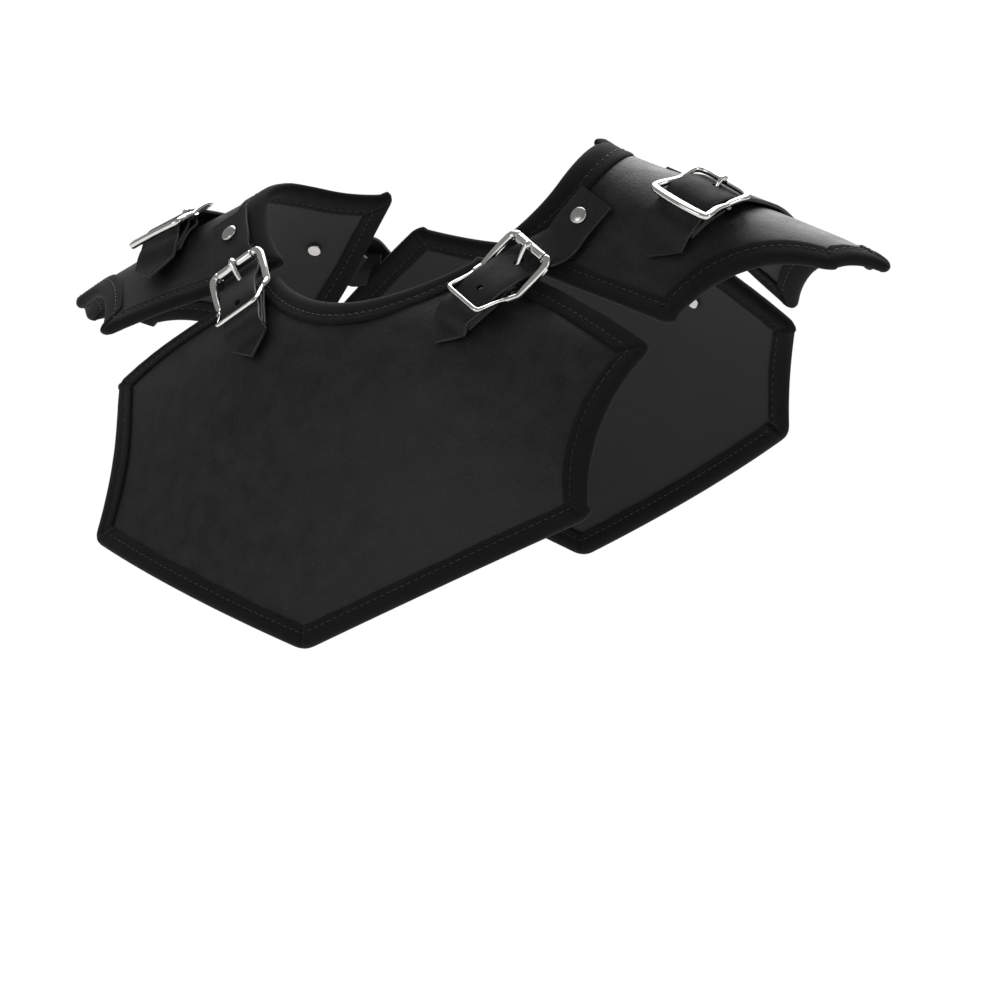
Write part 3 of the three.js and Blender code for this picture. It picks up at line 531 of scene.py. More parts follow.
def finished_leather(name, dark, light, rough_low, rough_high, grain_mm):
    """Finished cowhide: pigment-coated, plated smooth, with a fine grain that breaks up its satin
    shine, and broad soft unevenness."""
    material, tree, shader, place = new_material(name)
    cells = add(tree, "ShaderNodeTexVoronoi", {"Vector": place, "Scale": 1 / (grain_mm * MM)},
                feature="SMOOTH_F1").outputs["Distance"]
    pores = cloud(tree, place, 0.5, 3.0)
    blotch = cloud(tree, place, 9, 5.0)
    normal = relief(tree, calculate(tree, "ADD", cells, pores), 0.45, 0.16)
    normal = relief(tree, cloud(tree, place, 35, 4.0), 0.35, 1.3, normal)
    # Creases follow the contour lines of a soft noise.
    away = calculate(tree, "ABSOLUTE", calculate(tree, "SUBTRACT", cloud(tree, place, 55, 2.5), 0.5))
    normal = relief(tree, spread(tree, away, 0.0, 0.03), 0.25, 0.2, normal)
    colour = blend(tree, spread(tree, blotch, 0.3, 0.7), srgb(dark), srgb(light))
    # Dust and scuffs in the grain show as faint light specks.
    colour = blend(tree, spread(tree, pores, 0.58, 0.72, 0.0, 0.5), colour, srgb("#3c3c3b"))
    connect(tree, shader, {
        "Base Color": colour, "Roughness": spread(tree, blotch, 0.3, 0.7, rough_low, rough_high),
        "Normal": normal, "IOR": 1.5, "Specular IOR Level": 0.22,
    })
    return material


def split_flesh(name):
    """The flesh side of the hide: split and dyed, a dull fibrous nap."""
    material, tree, shader, place = new_material(name)
    nap = cloud(tree, place, 0.7, 6.0)
    connect(tree, shader, {
        "Base Color": blend(tree, nap, srgb("#111111"), srgb("#232221")), "Roughness": 0.92,
        "Normal": relief(tree, nap, 0.6, 0.3), "Sheen Weight": 0.1,
    })
    return material


def edge_paint_and_painted_highlight(name):
    """Cut strap edge: burnished and painted, a touch glossier than the face. Its greyer tone is partly the
    edge paint's own colour and partly painted highlight for the light its bevels catch.
    """
    material, tree, shader, place = new_material(name)
    fibre = cloud(tree, place, 0.9, 4.0)
    connect(tree, shader, {
        # The lighter grey is partly the edge paint's colour and partly painted highlight along the bevelled
        # edges.
        "Base Color": blend(tree, fibre, srgb("#1d1d1c"), srgb("#2e2d2c")), "Roughness": 0.5,
        "Normal": relief(tree, fibre, 0.4, 0.15),
    })
    return material


def binding_tape(name):
    """Polyester edge tape, brushed and calendered: deep matte black that swallows light, with a faint
    cloth bloom at its folds."""
    material, tree, shader, place = new_material(name)
    slub = cloud(tree, place, 6, 3.0)
    # The threads are about 0.2 mm apart, too fine for the picture, so the cloth is drawn at 0.8 mm.
    cloth = calculate(tree, "ADD", cloud(tree, place, 0.8, 4.0), slub)
    connect(tree, shader, {
        "Base Color": blend(tree, slub, srgb("#0a0a0a"), srgb("#131313")), "Roughness": 0.85,
        "Normal": relief(tree, cloth, 0.35, 0.25), "Specular IOR Level": 0.12,
        "Sheen Weight": 0.03, "Sheen Roughness": 0.5,
    })
    return material


def bonded_thread(name):
    """Black bonded polyester thread: smooth, a little shinier than the tape."""
    material, tree, shader, place = new_material(name)
    colour = blend(tree, cloud(tree, place, 0.4, 2.0), srgb("#050505"), srgb("#111111"))
    connect(tree, shader, {"Base Color": colour, "Roughness": 0.5})
    return material


def nickel_plate(name, rough, dark, light):
    """Nickel-plated zinc casting, tumbled then plated: mirror bright with soft hand marks."""
    material, tree, shader, place = new_material(name)
    marks = cloud(tree, place, 5, 5.0)
    connect(tree, shader, {
        "Base Color": blend(tree, marks, srgb(dark), srgb(light)), "Metallic": 1.0,
        "Roughness": spread(tree, marks, 0.35, 0.75, rough, rough + 0.12),
        "Normal": relief(tree, cloud(tree, place, 2.5, 2.0), 0.12, 0.1),
    })
    return material


LEATHER = finished_leather("finished_cowhide", "#0e0e0e", "#1b1b1b", 0.4, 0.5, 1.3)
STRAP_LEATHER = finished_leather("strap_cowhide", "#0c0c0c", "#161616", 0.6, 0.72, 1.1)
FLESH = split_flesh("split_flesh_side")
EDGE = edge_paint_and_painted_highlight("cut_edge_paint_and_painted_highlight")
TAPE = binding_tape("brushed_edge_tape")
THREAD = bonded_thread("bonded_thread")
NICKEL = nickel_plate("nickel_plate", 0.07, "#c0bfbc", "#dbdad7")
RIVET_NICKEL = nickel_plate("nickel_rivet_cap", 0.18, "#aaa9a7", "#c2c1bf")


# Plates: the leather sheet, the folded binding and its stitches.
def make_leather(name, node, surface, outline):
    """The sheet of leather, from a grid trimmed and drawn to the line where the binding folds."""
    edge = outline.points(1.6)
    trim = outline.points(1.6 + LEATHER_STEP * 0.6)
    low = Vector((min(p.x for p in edge), min(p.y for p in edge)))
    high = Vector((max(p.x for p in edge), max(p.y for p in edge)))
    columns = math.ceil((high.x - low.x) / LEATHER_STEP)
    rows = math.ceil((high.y - low.y) / LEATHER_STEP)
    bm = bmesh.new()
    step_x, step_y = (high.x - low.x) / columns, (high.y - low.y) / rows
    bent_grid(bm, columns, rows, lambda i, j: (low.x + i * step_x, low.y + j * step_y, 0))
    outer = [v for v in bm.verts if not inside(v.co, trim)]
    bmesh.ops.delete(bm, geom=outer, context="VERTS")
    loose = [v for v in bm.verts if len(v.link_faces) < 2]
    bmesh.ops.delete(bm, geom=loose, context="VERTS")
    for v in bm.verts:
        if v.is_boundary:
            at = nearest(v.co.xy, edge)
            v.co = (at.x, at.y, 0)
    bm.faces.ensure_lookup_table()
    made = bmesh.ops.extrude_face_region(bm, geom=list(bm.faces))["geom"]
    tops = {g for g in made if isinstance(g, bmesh.types.BMVert)}
    top_faces = {g for g in made if isinstance(g, bmesh.types.BMFace)}
    for face in bm.faces:
        on_top = sum(v in tops for v in face.verts)
        face.material_index = 0 if face in top_faces else 1 if on_top == 0 else 2
    for v in bm.verts:
        x, y = v.co.xy
        height = swell(v.co.xy, outline) + PLATE_THICKNESS / 2 * (1 if v in tops else -1)
        v.co = surface.on(x, y, height)
    return finish_piece(bm, name, [LEATHER, FLESH, EDGE], [node], sharp=50)


def swell(xy, outline):
    """How far the leather stands off its true form: soft handling waves that die at the binding."""
    wave = sum(noise.noise(Vector((xy.x / a, xy.y / b, seed))) * height for a, b, seed, height in WAVES)
    middle = outline.middle
    reach = min((c - middle).length for c in outline.corners)
    fade = 1 - min(1.0, ((xy - middle).length / reach) ** 4)
    return wave * fade


def make_binding(name, node, surface, outline, seed):
    """The tape folded over the plate's edge, mitred at the corners and a little uneven."""
    under = [(inset, -height) for inset, height in reversed(BINDING_SECTION)]
    section = BINDING_SECTION + under + BINDING_INSIDE
    rings = []
    count = len(outline.points(0))
    for inset, height in section:
        points = outline.points(inset)
        ring = []
        for k, point in enumerate(points):
            angle = 2 * math.pi * k / count
            where = Vector((math.cos(angle) * 9, math.sin(angle) * 9, seed))
            drift = sum(noise.noise(where * often) * far for often, far in LIP_DRIFT)
            puff = noise.noise(where * 3 + Vector((5, 0, 0))) * TAPE_PUFF
            lift = height
            if abs(height) > 1.32:
                side = math.copysign(1, height)
                share = min(1.0, (abs(height) - 1.3) / 0.9) * min(1.0, inset / 2.5)
                lift += side * share * (outline.fold(point, inset) + puff)
            if inset > 7:
                inward = (outline.middle - point).normalized()
                point = point + inward * drift
            ring.append(surface.on(point.x, point.y, lift))
        rings.append(ring)
    bm = bmesh.new()
    tube(bm, rings, closed=True)
    return finish_piece(bm, name, [TAPE], [node], sharp=60)


def make_stitches(name, surface, outline):
    """One row of stitches round the outer face of the binding, and the same row inside."""
    line = outline.points(STITCH_INSET)
    lengths = [0.0]
    for i, point in enumerate(line):
        lengths.append(lengths[-1] + (line[(i + 1) % len(line)] - point).length)
    total = lengths[-1]
    count = round(total / STITCH_PITCH)

    def at(distance):
        distance %= total
        i = next(k for k in range(len(line)) if lengths[k + 1] >= distance)
        f = (distance - lengths[i]) / max(1e-6, lengths[i + 1] - lengths[i])
        return line[i].lerp(line[(i + 1) % len(line)], f)

    bm = bmesh.new()
    for face in (1, -1):
        for k in range(count):
            middle = k * total / count
            stops = []
            for share, sink, _ in STITCH_SHAPE:
                xy = at(middle + share * STITCH_LENGTH)
                stops.append(surface.on(xy.x, xy.y, face * (STITCH_HEIGHT - sink)))
            rod(bm, stops, [THREAD_RADIUS * size for _, _, size in STITCH_SHAPE], 5)
    return finish_piece(bm, name, [THREAD], sharp=80)


def rod(bm, stops, radii, sides, flat=1.0, up=None):
    """A rod through stops with a radius each. flat squashes it along up."""
    rings = []
    reference = up or Vector((0.31, 0.17, 0.94))
    for i, stop in enumerate(stops):
        along = (stops[min(i + 1, len(stops) - 1)] - stops[max(i - 1, 0)]).normalized()
        across = along.cross(reference).normalized()
        rise = across.cross(along)
        ring = []
        for k in range(sides):
            angle = 2 * math.pi * (k + 0.5) / sides
            offset = across * math.cos(angle) + rise * math.sin(angle) * flat
            ring.append(stop + offset * radii[i])
        rings.append(ring)
    tube(bm, rings)


def outline_of(corners, size_x, size_y):
    outline = Outline([(x * size_x, y * size_y, bow) for x, y, bow in corners])
    outline.middle = sum(outline.corners, Vector((0, 0))) / len(outline.corners)
    return outline


chest_surface = torso_surface(CHEST_PROFILE, CHEST)
back_surface = torso_surface(BACK_PROFILE, BACK)
plates = {
    "chest": (chest_surface, outline_of(CHEST_CORNERS, CHEST["half_width"], CHEST["height"])),
    "back": (back_surface, outline_of(BACK_CORNERS, BACK["half_width"], BACK["height"])),
}
for side in SIDES:
    outline = outline_of(SHOULDER_CORNERS, SHOULDER_LENGTH, SHOULDER_REACH)
    plates["shoulder_" + side["name"]] = (shoulder_surface(side), outline)


def node_name(plate, kind):
    """The CAD node of a plate's leather or binding."""
    where, _, which = plate.partition("_")
    return "_".join(filter(None, [where, kind, which]))


for seed, (plate, (surface, outline)) in enumerate(plates.items()):
    make_leather(f"{plate}_leather", node_name(plate, "plate"), surface, outline)
    make_binding(f"{plate}_edge_tape", node_name(plate, "binding"), surface, outline, seed * 7.3)
    make_stitches(f"{plate}_stitches", surface, outline)


# Straps.
class Curve:
    """A centripetal Catmull-Rom curve through points."""

    def __init__(self, points):
        self.points = points

    def at(self, t):
        last = len(self.points) - 1
        place = min(max(t, 0.0), 1.0) * last
        i = min(int(place), last - 1)
        f = place - i
        p = self.points
        p1, p2 = p[i], p[i + 1]
        p0 = p[i - 1] if i > 0 else p1 * 2 - p2
        p3 = p[i + 2] if i + 2 <= last else p2 * 2 - p1
        d0, d1, d2 = (max((b - a).length ** 0.5, 1e-4) for a, b in ((p0, p1), (p1, p2), (p2, p3)))
        t1 = ((p1 - p0) / d0 - (p2 - p0) / (d0 + d1) + (p2 - p1) / d1) * d1
        t2 = ((p2 - p1) / d1 - (p3 - p1) / (d1 + d2) + (p3 - p2) / d2) * d1
        return (
            p1 * (2 * f**3 - 3 * f * f + 1) + t1 * (f**3 - 2 * f * f + f)
            + p2 * (3 * f * f - 2 * f**3) + t2 * (f**3 - f * f)
        )

    def tangent(self, t):
        return (self.at(min(1, t + 1e-4)) - self.at(max(0, t - 1e-4))).normalized()


def stop(point, normal, half, across=None):
    return dict(point=point, normal=normal, half=half, across=across)


# The faces round a strap's section that are its two cut edges.
STRAP_EDGE_COLUMNS = (0, 1, 2, 9, 10, 11, 12, 17)


def strap_section(half, thickness):
    """The ring of a strap's section, with softly bevelled edges: (across, up) pairs."""
    t = thickness / 2
    side = [(half - 0.02, -t * 0.55), (half, 0), (half - 0.02, t * 0.55), (half - 0.16, t * 0.86)]
    top = [(half - 0.45, t), (half * 0.5, t), (0, t), (-half * 0.5, t), (-half + 0.45, t)]
    ring = side + top
    ring += [(-x, z) for x, z in reversed(side)]
    ring += [(-half + 0.45, -t), (-half * 0.5, -t), (0, -t), (half * 0.5, -t), (half - 0.45, -t)]
    return ring


def strap_mesh(route, thickness, wobble=0.0):
    """A strap swept along a smooth route of stops."""
    curve = Curve([s["point"] for s in route])
    rings = []
    last = len(route) - 1
    for i in range(last):
        span = (route[i + 1]["point"] - route[i]["point"]).length
        steps = max(2, math.ceil(span / STRAP_STEP))
        for k in range(steps + (i == last - 1)):
            f = k / steps
            t = (i + f) / last
            tangent = curve.tangent(t)
            normal = route[i]["normal"].lerp(route[i + 1]["normal"], f)
            across = (route[i]["across"] or tangent.cross(normal)).normalized()
            up = across.cross(tangent).normalized()
            half = route[i]["half"] + (route[i + 1]["half"] - route[i]["half"]) * f
            half = max(half, 0.7)
            centre = curve.at(t)
            drift = noise.noise(centre * 0.08) * wobble
            rings.append([centre + across * (x + drift) + up * z for x, z in strap_section(half, thickness)])
    bm = bmesh.new()
    tube(bm, rings, painted=STRAP_EDGE_COLUMNS)
    return bm


def layer_on(height, thickness):
    return height + GAP + thickness / 2


BINDING_TOP = PLATE_THICKNESS / 2 + GAP + BINDING_THICKNESS
STRAP_REST = layer_on(PLATE_THICKNESS / 2, STRAP_THICKNESS)
STRAP_OVER_BINDING = layer_on(BINDING_TOP, STRAP_THICKNESS) + BEND_EASE


def place_on(origin, towards_root, normal):
    """The place of a fitting: x across the strap, y towards its root, z away from the leather."""
    z = normal.normalized()
    y = (towards_root - z * towards_root.dot(z)).normalized()
    x = y.cross(z)
    return Matrix.Translation(origin) @ Matrix((x, y, z)).transposed().to_4x4()


def line_on(surface, origin, direction):
    """Makes stops along a line drawn in a surface's pattern."""
    def stop_at(along, height, half):
        x, y = (o + d * along for o, d in zip(origin, direction))
        return stop(surface.on(x, y, height), surface.normal(x, y), half)
    return stop_at


def spun(bm, profile, place, steps, axis="Z"):
    """A turned piece from a profile of (radius, height) pairs, put in place."""
    verts = [bm.verts.new((r, 0, z)) for r, z in profile]
    edges = [bm.edges.new(pair) for pair in zip(verts, verts[1:])]
    made = bmesh.ops.spin(
        bm, geom=verts + edges, axis=(0, 0, 1), cent=(0, 0, 0), angle=2 * math.pi, steps=steps,
        use_merge=True,
    )
    bmesh.ops.remove_doubles(bm, verts=bm.verts, dist=1e-4)
    turn = Matrix.Rotation(math.radians(90), 4, "Y") if axis == "X" else Matrix.Identity(4)
    bmesh.ops.transform(bm, matrix=place @ turn, verts=bm.verts)


# A rivet's washer and its cap, as shares of the head's radius and of their heights.
RIVET_BACK = ((0, 1), (0.72, 1), (0.8, 0.6), (0.8, 0))
RIVET_CAP = (
    (0.9, 0), (1, 0.14), (1, 0.3), (0.95, 0.48), (0.86, 0.6), (0.7, 0.72), (0.5, 0.8), (0.25, 0.85),
    (0, 0.86),
)


def make_rivet(name, node, at, towards, stack_top, dome_share=1):
    """A tubular rivet with a pressed cap: rolled rim, low dome, and a plain washer behind."""
    bottom = -PLATE_THICKNESS / 2 - GAP - FACET_EASE
    shank, head = RIVET_SHANK / 2, RIVET_HEAD / 2
    top = stack_top + GAP * 0.4
    dome = RIVET_DOME * dome_share
    profile = [(head * out, bottom - RIVET_WASHER * down) for out, down in RIVET_BACK]
    profile += [(shank, bottom), (shank, top)]
    profile += [(head * out, top + dome * up) for out, up in RIVET_CAP]
    bm = bmesh.new()
    spun(bm, profile, place_on(at["point"], towards, at["normal"]), 40)
    finish_piece(bm, name, [RIVET_NICKEL], [node], sharp=50)


def lift_at(kind, y):
    """Height of a frame's middle over its bar: bent up to both ends, and domed between them."""
    end, lift = (kind["root_end"], kind["root_lift"]) if y > 0 else (-kind["tip_end"], kind["tip_lift"])
    share = min(1.0, y / end)
    return lift * y / end + kind["dome"] * (1 - share * share)


def smooth(low, high, x):
    f = min(1.0, max(0.0, (x - low) / (high - low)))
    return f * f * (3 - 2 * f)


# The frames' section: angles round it and how far it reaches there. It is round, with a shallow
# groove along its top, which gives each bar its two bright lines.
FRAME_SECTION = [
    (-90, 0.95), (-60, 1), (-30, 1), (-8, 1), (14, 1), (32, 1.01), (48, 1.03), (66, 0.98),
    (90, 0.88), (114, 0.98), (132, 1.03), (148, 1.01), (166, 1), (188, 1), (210, 1), (240, 1),
]
# Half of each frame from the middle of its root end to the middle of its tip end: x, y, half the
# width of the section and half its depth.
FRONT_FRAME = [
    (0, 19, 1.3, 1.3), (9.2, 19, 1.3, 1.3), (9.9, 19, 1.5, 1.5), (10.4, 19.1, 2.2, 2.2),
    (12, 18.9, 2.1, 2.1), (13.4, 17.2, 1.95, 2.0), (13.9, 13.5, 1.8, 1.9), (14, 8, 1.7, 1.9),
    (13.8, 3, 1.6, 1.9), (13.4, -1.5, 1.5, 1.8), (12.9, -4.6, 1.3, 1.5), (12.4, -5.8, 1.0, 1.1),
    (11.9, -8, 0.95, 1.05), (11.6, -12, 0.95, 1.05), (11.4, -16.4, 1.0, 1.05), (10.8, -18.6, 1.1, 1.05),
    (9.2, -19.2, 1.1, 1.05), (5, -19.3, 1.05, 1.05), (0, -19.3, 1.05, 1.05),
]
SHOULDER_FRAME = [
    (0, 13.2, 1.5, 1.5), (6, 13.2, 1.5, 1.5), (11, 13.1, 1.6, 1.5), (14.2, 12.2, 1.8, 1.5),
    (15.5, 9.8, 1.7, 1.5), (15.2, 6, 1.5, 1.5), (14.5, 1.5, 1.4, 1.5), (14.4, -3, 1.45, 1.5),
    (15.0, -7.5, 1.6, 1.6), (15.9, -11.3, 1.8, 1.7), (15.9, -13.4, 1.9, 1.7), (14.2, -14.4, 1.9, 1.8),
    (11, -14.9, 2.0, 1.8), (6, -15.3, 2.1, 1.8), (0, -15.5, 2.15, 1.8),
]


def buckle_frame(bm, kind, table, place):
    """A cast frame swept round its table."""
    mirrored = [(-x, y, wide, deep) for x, y, wide, deep in table[-2:0:-1]]
    loop = table + mirrored
    shape = Curve([Vector((x, y, 0)) for x, y, _, _ in loop + loop[:1]])
    sizes = Curve([Vector((wide, deep, 0)) for _, _, wide, deep in loop + loop[:1]])
    count = len(loop) * 4
    normal = place.to_3x3() @ Vector((0, 0, 1))
    stops = []
    for k in range(count):
        x, y, _ = shape.at(k / count)
        stops.append(place @ Vector((x, y, lift_at(kind, y))))
    rings = []
    for i, at in enumerate(stops):
        wide, deep, _ = sizes.at(i / count)
        along = (stops[(i + 1) % count] - stops[i - 1]).normalized()
        across = along.cross(normal).normalized()
        rise = across.cross(along)
        if rise.dot(normal) < 0:
            rise = -rise
        ring = []
        for angle, reach in FRAME_SECTION:
            turned = math.radians(angle)
            ring.append(at + (across * math.cos(turned) * wide + rise * math.sin(turned) * deep) * reach)
        rings.append(ring)
    tube(bm, rings, closed=True)


def make_buckle(name, side, kind, place):
    node = f"{name}_buckle_{side}"
    bm = bmesh.new()
    buckle_frame(bm, kind, FRONT_FRAME if kind["roller"] else SHOULDER_FRAME, place)
    half = kind["width"] / 2 - 0.4
    ends = [place @ Vector((half * x, 0, kind["dome"] * x**6)) for x in (-1, -0.92, -0.8, 0, 0.8, 0.92, 1)]
    rod(bm, ends, [kind["bar"]] * 7, 12, up=place.to_3x3() @ Vector((0, 0, 1)))
    finish_piece(bm, f"{name}_frame_{side}", [NICKEL], [node], sharp=50)


def make_prong(name, side, kind, place):
    """An eye bent round the bar and a pin that tapers to rest over the root end."""
    inner = kind["bar"] + GAP
    outer = inner + kind["prong"] * 1.4
    middle, wall = (inner + outer) / 2, (outer - inner) / 2
    bm = bmesh.new()
    eye = []
    for k in range(24):
        angle = 2 * math.pi * k / 24
        eye.append(place @ Vector((0, math.cos(angle) * middle, math.sin(angle) * middle)))
    axis = place.to_3x3() @ Vector((1, 0, 0))
    rings = []
    for k, at in enumerate(eye):
        out = (at - place.translation).normalized()
        rings.append([
            at + out * math.cos(a) * wall + axis * math.sin(a) * kind["prong"]
            for a in (2 * math.pi * (j + 0.5) / 10 for j in range(10))
        ])
    tube(bm, rings, closed=True)
    rest = kind["root_lift"] + (kind["roller"] or kind["thick"]) + kind["prong"]
    end, hole = kind["root_end"], kind["hole"]
    over_bar = layer_on(kind["bar"] + GAP + CHAPE_THICKNESS, STRAP_THICKNESS)
    low = layer_on(kind["roller"] or kind["end"], STRAP_THICKNESS)
    strap_z = over_bar + (kind["root_lift"] - low - over_bar) * hole / end
    curve = Curve([
        Vector((0, middle * 0.94, middle * 0.5)), Vector((0, hole * 0.55, strap_z - 1.2)),
        Vector((0, hole - 0.6, strap_z - 0.4)), Vector((0, hole + 2, strap_z + 2.4)),
        Vector((0, end - 2.2, rest - 0.5)), Vector((0, end + 0.5, rest - 0.4)),
    ])
    stops = [place @ curve.at(k / 32) for k in range(33)]
    radii = [kind["prong"] * (1.05 + 0.5 * smooth(0.74, 0.82, k / 32)) for k in range(33)]
    radii[-1] *= 0.7
    rod(bm, stops, radii, 14, flat=0.78, up=place.to_3x3() @ Vector((0, 0, 1)))
    finish_piece(bm, f"{name}_pin_{side}", [NICKEL], [f"{name}_prong_{side}"], sharp=50)


def make_roller(name, side, kind, place):
    """The tube that turns on the root end, with softly turned-in ends."""
    inner, outer = kind["end"] + 0.15, kind["roller"]
    half = kind["roller_length"] / 2 - GAP
    turned_in = [(outer, 0.45), (outer - 0.08, 0.12), (outer - 0.3, 0), (inner, 0.1)]
    profile = [(r, end - half) for r, end in reversed(turned_in)]
    profile += [(outer, 0)] + [(r, half - end) for r, end in turned_in]
    profile.append(profile[0])
    bm = bmesh.new()
    lifted = place @ Matrix.Translation((0, kind["root_end"], kind["root_lift"]))
    spun(bm, profile, lifted, 32, axis="X")
    finish_piece(bm, f"{name}_roller_tube_{side}", [NICKEL], [f"{name}_roller_{side}"], sharp=40)


def punch(place, y, wide, long):
    """A tool for an oblong hole through a strap, in a buckle's frame."""
    def cutter(bm):
        shape = place @ Matrix.Translation((0, y, 0)) @ Matrix.Diagonal((wide, long, 1, 1))
        bmesh.ops.create_cone(bm, cap_ends=True, segments=28, radius1=1, radius2=1, depth=24, matrix=shape)
    return cutter


def slot_tool(place, width, length):
    def cutter(bm):
        size = Matrix.Diagonal((width, length, length, 1))
        bmesh.ops.create_cube(bm, size=1, matrix=place @ size)
    return cutter


def make_buckled_strap(side, name, kind, width, seat, line, root):
    """Everything that one buckle holds, nudged and turned on the leather as it is worn."""
    stack = kind["bar"] + GAP + CHAPE_THICKNESS
    start_normal = line(0, 0, 0)["normal"]
    bar = line(0, seat + stack, 0)["point"]
    place = place_on(bar, line(1, 0, 0)["point"] - line(-1, 0, 0)["point"], start_normal)
    place @= Matrix.Translation((*root["shift"], 0)) @ Matrix.Rotation(math.radians(root["turn"]), 4, "Z")
    half = width / 2

    def near_bar(y, z, half_width):
        return stop(place @ Vector((0, y, z)), start_normal, half_width)

    make_buckle(name, side, kind, place)
    make_prong(name, side, kind, place)
    if kind["roller"]:
        make_roller(name, side, kind, place)

    lower = seat + CHAPE_THICKNESS / 2
    upper = lower + CHAPE_THICKNESS + GAP
    chape_top = upper + CHAPE_THICKNESS / 2
    radius = stack - CHAPE_THICKNESS / 2
    chape_half = half - CHAPE_INSET
    across = place.to_3x3() @ Vector((1, 0, 0))
    loop = [
        near_bar(math.cos(math.radians(a)) * radius, math.sin(math.radians(a)) * radius, chape_half)
        for a in CHAPE_LOOP
    ]
    chape = [
        line(-kind["chape"], lower, chape_half), line(-kind["chape"] / 2, lower, chape_half),
        line(-radius * 1.5, lower, chape_half), *loop, line(-radius * 2, upper + GAP, chape_half),
        line(-CHAPE_RIVET + RIVET_HEAD / 2, upper, chape_half), line(-kind["chape"], upper, chape_half),
    ]
    for s in chape:
        s["across"] = across
    bm = strap_mesh(chape, CHAPE_THICKNESS)
    piece = finish_piece(bm, f"{name}_tab_{side}", [STRAP_LEATHER, EDGE],
                         [f"{name}_chape_{side}"])
    cut_holes(piece, [slot_tool(place, 2 * (kind["prong"] + GAP * 1.5), 2 * (stack + GAP))])

    towards_root = place.to_3x3() @ Vector((0, 1, 0))
    make_rivet(f"{name}_tab_rivet_{side}", f"{name}_chape_rivet_{side}", line(-CHAPE_RIVET, 0, 0),
               towards_root, chape_top, CHAPE_RIVET_DOME)

    over_bar = layer_on(stack, STRAP_THICKNESS)
    under_root = kind["root_lift"] - layer_on(kind["roller"] or kind["end"], STRAP_THICKNESS) - BEND_EASE
    under_tip = kind["tip_lift"] - layer_on(kind["thin"], STRAP_THICKNESS) - BEND_EASE * 2
    route = [
        *root["stops"](half),
        near_bar(kind["root_end"], under_root, half), near_bar(kind["bar"], over_bar, half),
        near_bar(-kind["tip_end"] * 0.5, over_bar, half), near_bar(-kind["tip_end"], under_tip, half),
        line(-kind["chape"] - GAP, layer_on(chape_top, STRAP_THICKNESS) + BEND_EASE, half),
        line(-kind["tongue"] + STRAP_POINT, root["lay"] + GAP + root["curl"] * CURL_START, half),
        line(-kind["tongue"], root["lay"] + root["curl"], half * POINT_SHARE),
    ]
    bm = strap_mesh(route, STRAP_THICKNESS, wobble=0.5)
    piece = finish_piece(bm, f"{name}_belt_{side}", [STRAP_LEATHER, EDGE],
                         [f"{name}_strap_{side}"])
    holes = [punch(place, kind["hole"] + 0.4, kind["prong"] * 1.4, kind["prong"] * 2.3)]
    if kind["roller"]:
        holes.append(punch(place, SPARE_HOLE, 1.5, 1.5))
    cut_holes(piece, holes)
    make_rivet(f"{name}_belt_rivet_{side}", f"{name}_strap_rivet_{side}", root["rivet"], towards_root,
               root["height"] + STRAP_THICKNESS / 2)


def make_side(side):
    surface = plates["shoulder_" + side["name"]][0]

    sign = side["sign"]
    chest_line = line_on(
        chest_surface, (sign * side["front_bar"], FRONT_BAR_DOWN), (sign * FRONT_LINE[0], FRONT_LINE[1]),
    )
    root_stop = line_on(surface, (side["front_rivet"], FRONT_RIVET_ROUND), FRONT_ROOT_LINE)
    make_buckled_strap(
        side["name"], "front", FRONT_BUCKLE, FRONT_STRAP_WIDTH, BINDING_TOP + GAP, chest_line, dict(
            stops=lambda half: [root_stop(y, STRAP_OVER_BINDING, half) for y in FRONT_ROOT_STOPS],
            rivet=root_stop(0, 0, 0), height=STRAP_OVER_BINDING, lay=STRAP_REST + GAP, curl=FRONT_CURL,
            shift=side["front_shift"], turn=side["front_turn"],
        ),
    )
    shoulder_line = line_on(
        surface, (side["shoulder_bar"], side["shoulder_bar_round"]), (side["shoulder_slant"], 1),
    )
    rest = STRAP_REST + BEND_EASE
    seat = PLATE_THICKNESS / 2 + BEND_EASE + GAP
    make_buckled_strap(
        side["name"], "shoulder", SHOULDER_BUCKLE, SHOULDER_STRAP_WIDTH, seat, shoulder_line, dict(
            stops=lambda half: [shoulder_line(y, rest, half) for y in SHOULDER_ROOT_STOPS],
            rivet=shoulder_line(SHOULDER_ROOT_STOPS[1], 0, 0), height=rest, lay=STRAP_REST,
            curl=side["tongue_curl"], shift=(0, 0), turn=0,
        ),
    )


def make_back_strap(side):
    """A plain strap from the shoulder plate to the back plate, riveted at both ends."""
    surface = plates["shoulder_" + side["name"]][0]
    half = BACK_STRAP_WIDTH / 2

    outwards = -side["sign"]
    root, end = BACK_STRAP_ROOT, BACK_STRAP_END
    upper = line_on(surface, (root["x"], root["y"]), (root["slant"], 1))
    lower = line_on(back_surface, (outwards * end["x"], end["y"]), (outwards * end["slant"], -1))
    route = [upper(along, STRAP_OVER_BINDING, half) for along in BACK_UPPER_STOPS]
    route += [lower(along, STRAP_OVER_BINDING + spring, half) for along, spring in BACK_LOWER_STOPS]
    bm = strap_mesh(route, STRAP_THICKNESS, wobble=0.5)
    name = side["name"]
    finish_piece(bm, f"back_belt_{name}", [STRAP_LEATHER, EDGE], [f"back_strap_{name}"])
    top = STRAP_OVER_BINDING + STRAP_THICKNESS / 2 + GAP
    for which, line in (("upper", upper), ("lower", lower)):
        make_rivet(f"back_belt_{which}_rivet_{name}", f"back_strap_{which}_rivet_{name}", line(0, 0, 0),
                   Vector((0, 0, 1)), top)


for side in SIDES:
    make_side(side)
    make_back_strap(side)


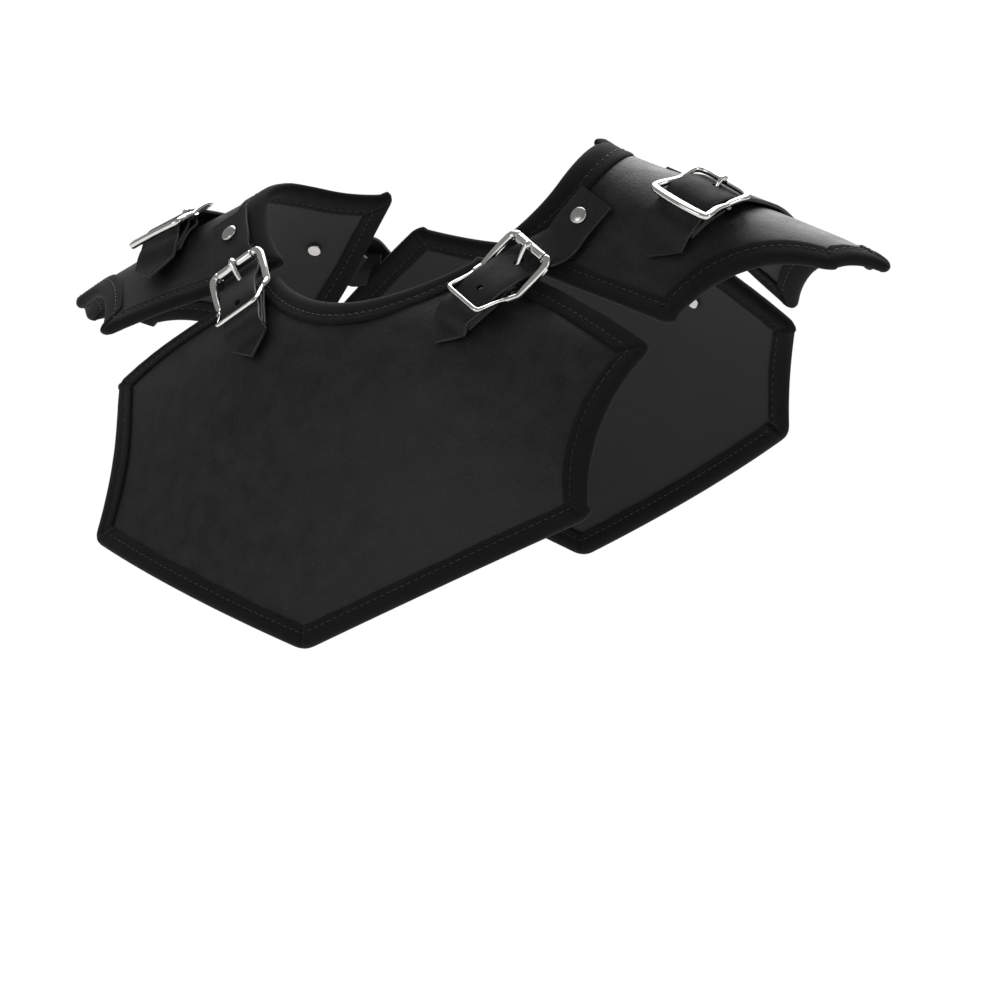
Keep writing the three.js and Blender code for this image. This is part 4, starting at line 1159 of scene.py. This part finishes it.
# Studio: a pale floor, a white surround and soft boxes.
def make_floor():
    material, tree, shader, place = new_material("pale_backdrop_paper")
    colour = blend(tree, cloud(tree, place, FLOOR_MOTTLE, 2.0), srgb("#f6f6f6"), srgb("#fafafa"))
    connect(tree, shader, {"Base Color": colour, "Roughness": 0.9})
    bm = bmesh.new()
    down = Matrix.Translation((0, 0, FLOOR_Z))
    bmesh.ops.create_grid(bm, x_segments=1, y_segments=1, size=FLOOR_SIZE, matrix=down)
    mesh = bpy.data.meshes.new("floor")
    bm.to_mesh(mesh)
    bm.free()
    mesh.materials.append(material)
    floor = bpy.data.objects.new("floor", mesh)
    bpy.context.scene.collection.objects.link(floor)


def soft_box(name, place, size, power):
    light = bpy.data.lights.new(name, "AREA")
    light.shape = "RECTANGLE"
    light.size, light.size_y = size
    light.energy = power
    lamp = bpy.data.objects.new(name, light)
    lamp.location = place
    lamp.rotation_mode = "QUATERNION"
    lamp.rotation_quaternion = (Vector(LIT_POINT) - Vector(place)).to_track_quat("-Z", "Y")
    bpy.context.scene.collection.objects.link(lamp)


def make_surround():
    """A white surround behind the object that lights it only softly."""
    world = bpy.data.worlds.new("white_surround")
    world.use_nodes = True
    tree = world.node_tree
    seen = tree.nodes["Background"]
    seen.inputs["Color"].default_value = (1, 1, 1, 1)
    seen.inputs["Strength"].default_value = 1.0
    lit = add(tree, "ShaderNodeBackground", {"Color": (1, 1, 1, 1), "Strength": SURROUND_LIGHT})
    ray = add(tree, "ShaderNodeLightPath")
    inputs = {0: ray.outputs["Is Camera Ray"], 1: lit.outputs[0], 2: seen.outputs[0]}
    mix = add(tree, "ShaderNodeMixShader", inputs)
    tree.links.new(mix.outputs[0], tree.nodes["World Output"].inputs["Surface"])
    bpy.context.scene.world = world


def make_studio():
    make_floor()
    make_surround()
    sun = bpy.data.lights.new("overhead_diffuser", "SUN")
    sun.energy = OVERHEAD_LIGHT
    sun.angle = math.radians(OVERHEAD_SPREAD)
    lamp = bpy.data.objects.new("overhead_diffuser", sun)
    lamp.rotation_euler = [math.radians(tilt) for tilt in OVERHEAD_TILT]
    bpy.context.scene.collection.objects.link(lamp)
    for name, (place, size, power) in SOFT_BOXES.items():
        soft_box(name, place, size, power)
    bpy.context.scene.view_settings.view_transform = "Standard"


def make_camera():
    data = bpy.data.cameras.new("camera")
    data.lens = LENS
    data.sensor_width = SENSOR
    camera = bpy.data.objects.new("camera", data)
    right, back = Vector(CAMERA_RIGHT), Vector(CAMERA_BACK)
    up = back.cross(right)
    camera.matrix_world = Matrix.Translation(CAMERA_AT) @ Matrix((right, up, back)).transposed().to_4x4()
    bpy.context.scene.collection.objects.link(camera)
    bpy.context.scene.camera = camera


make_camera()
make_studio()
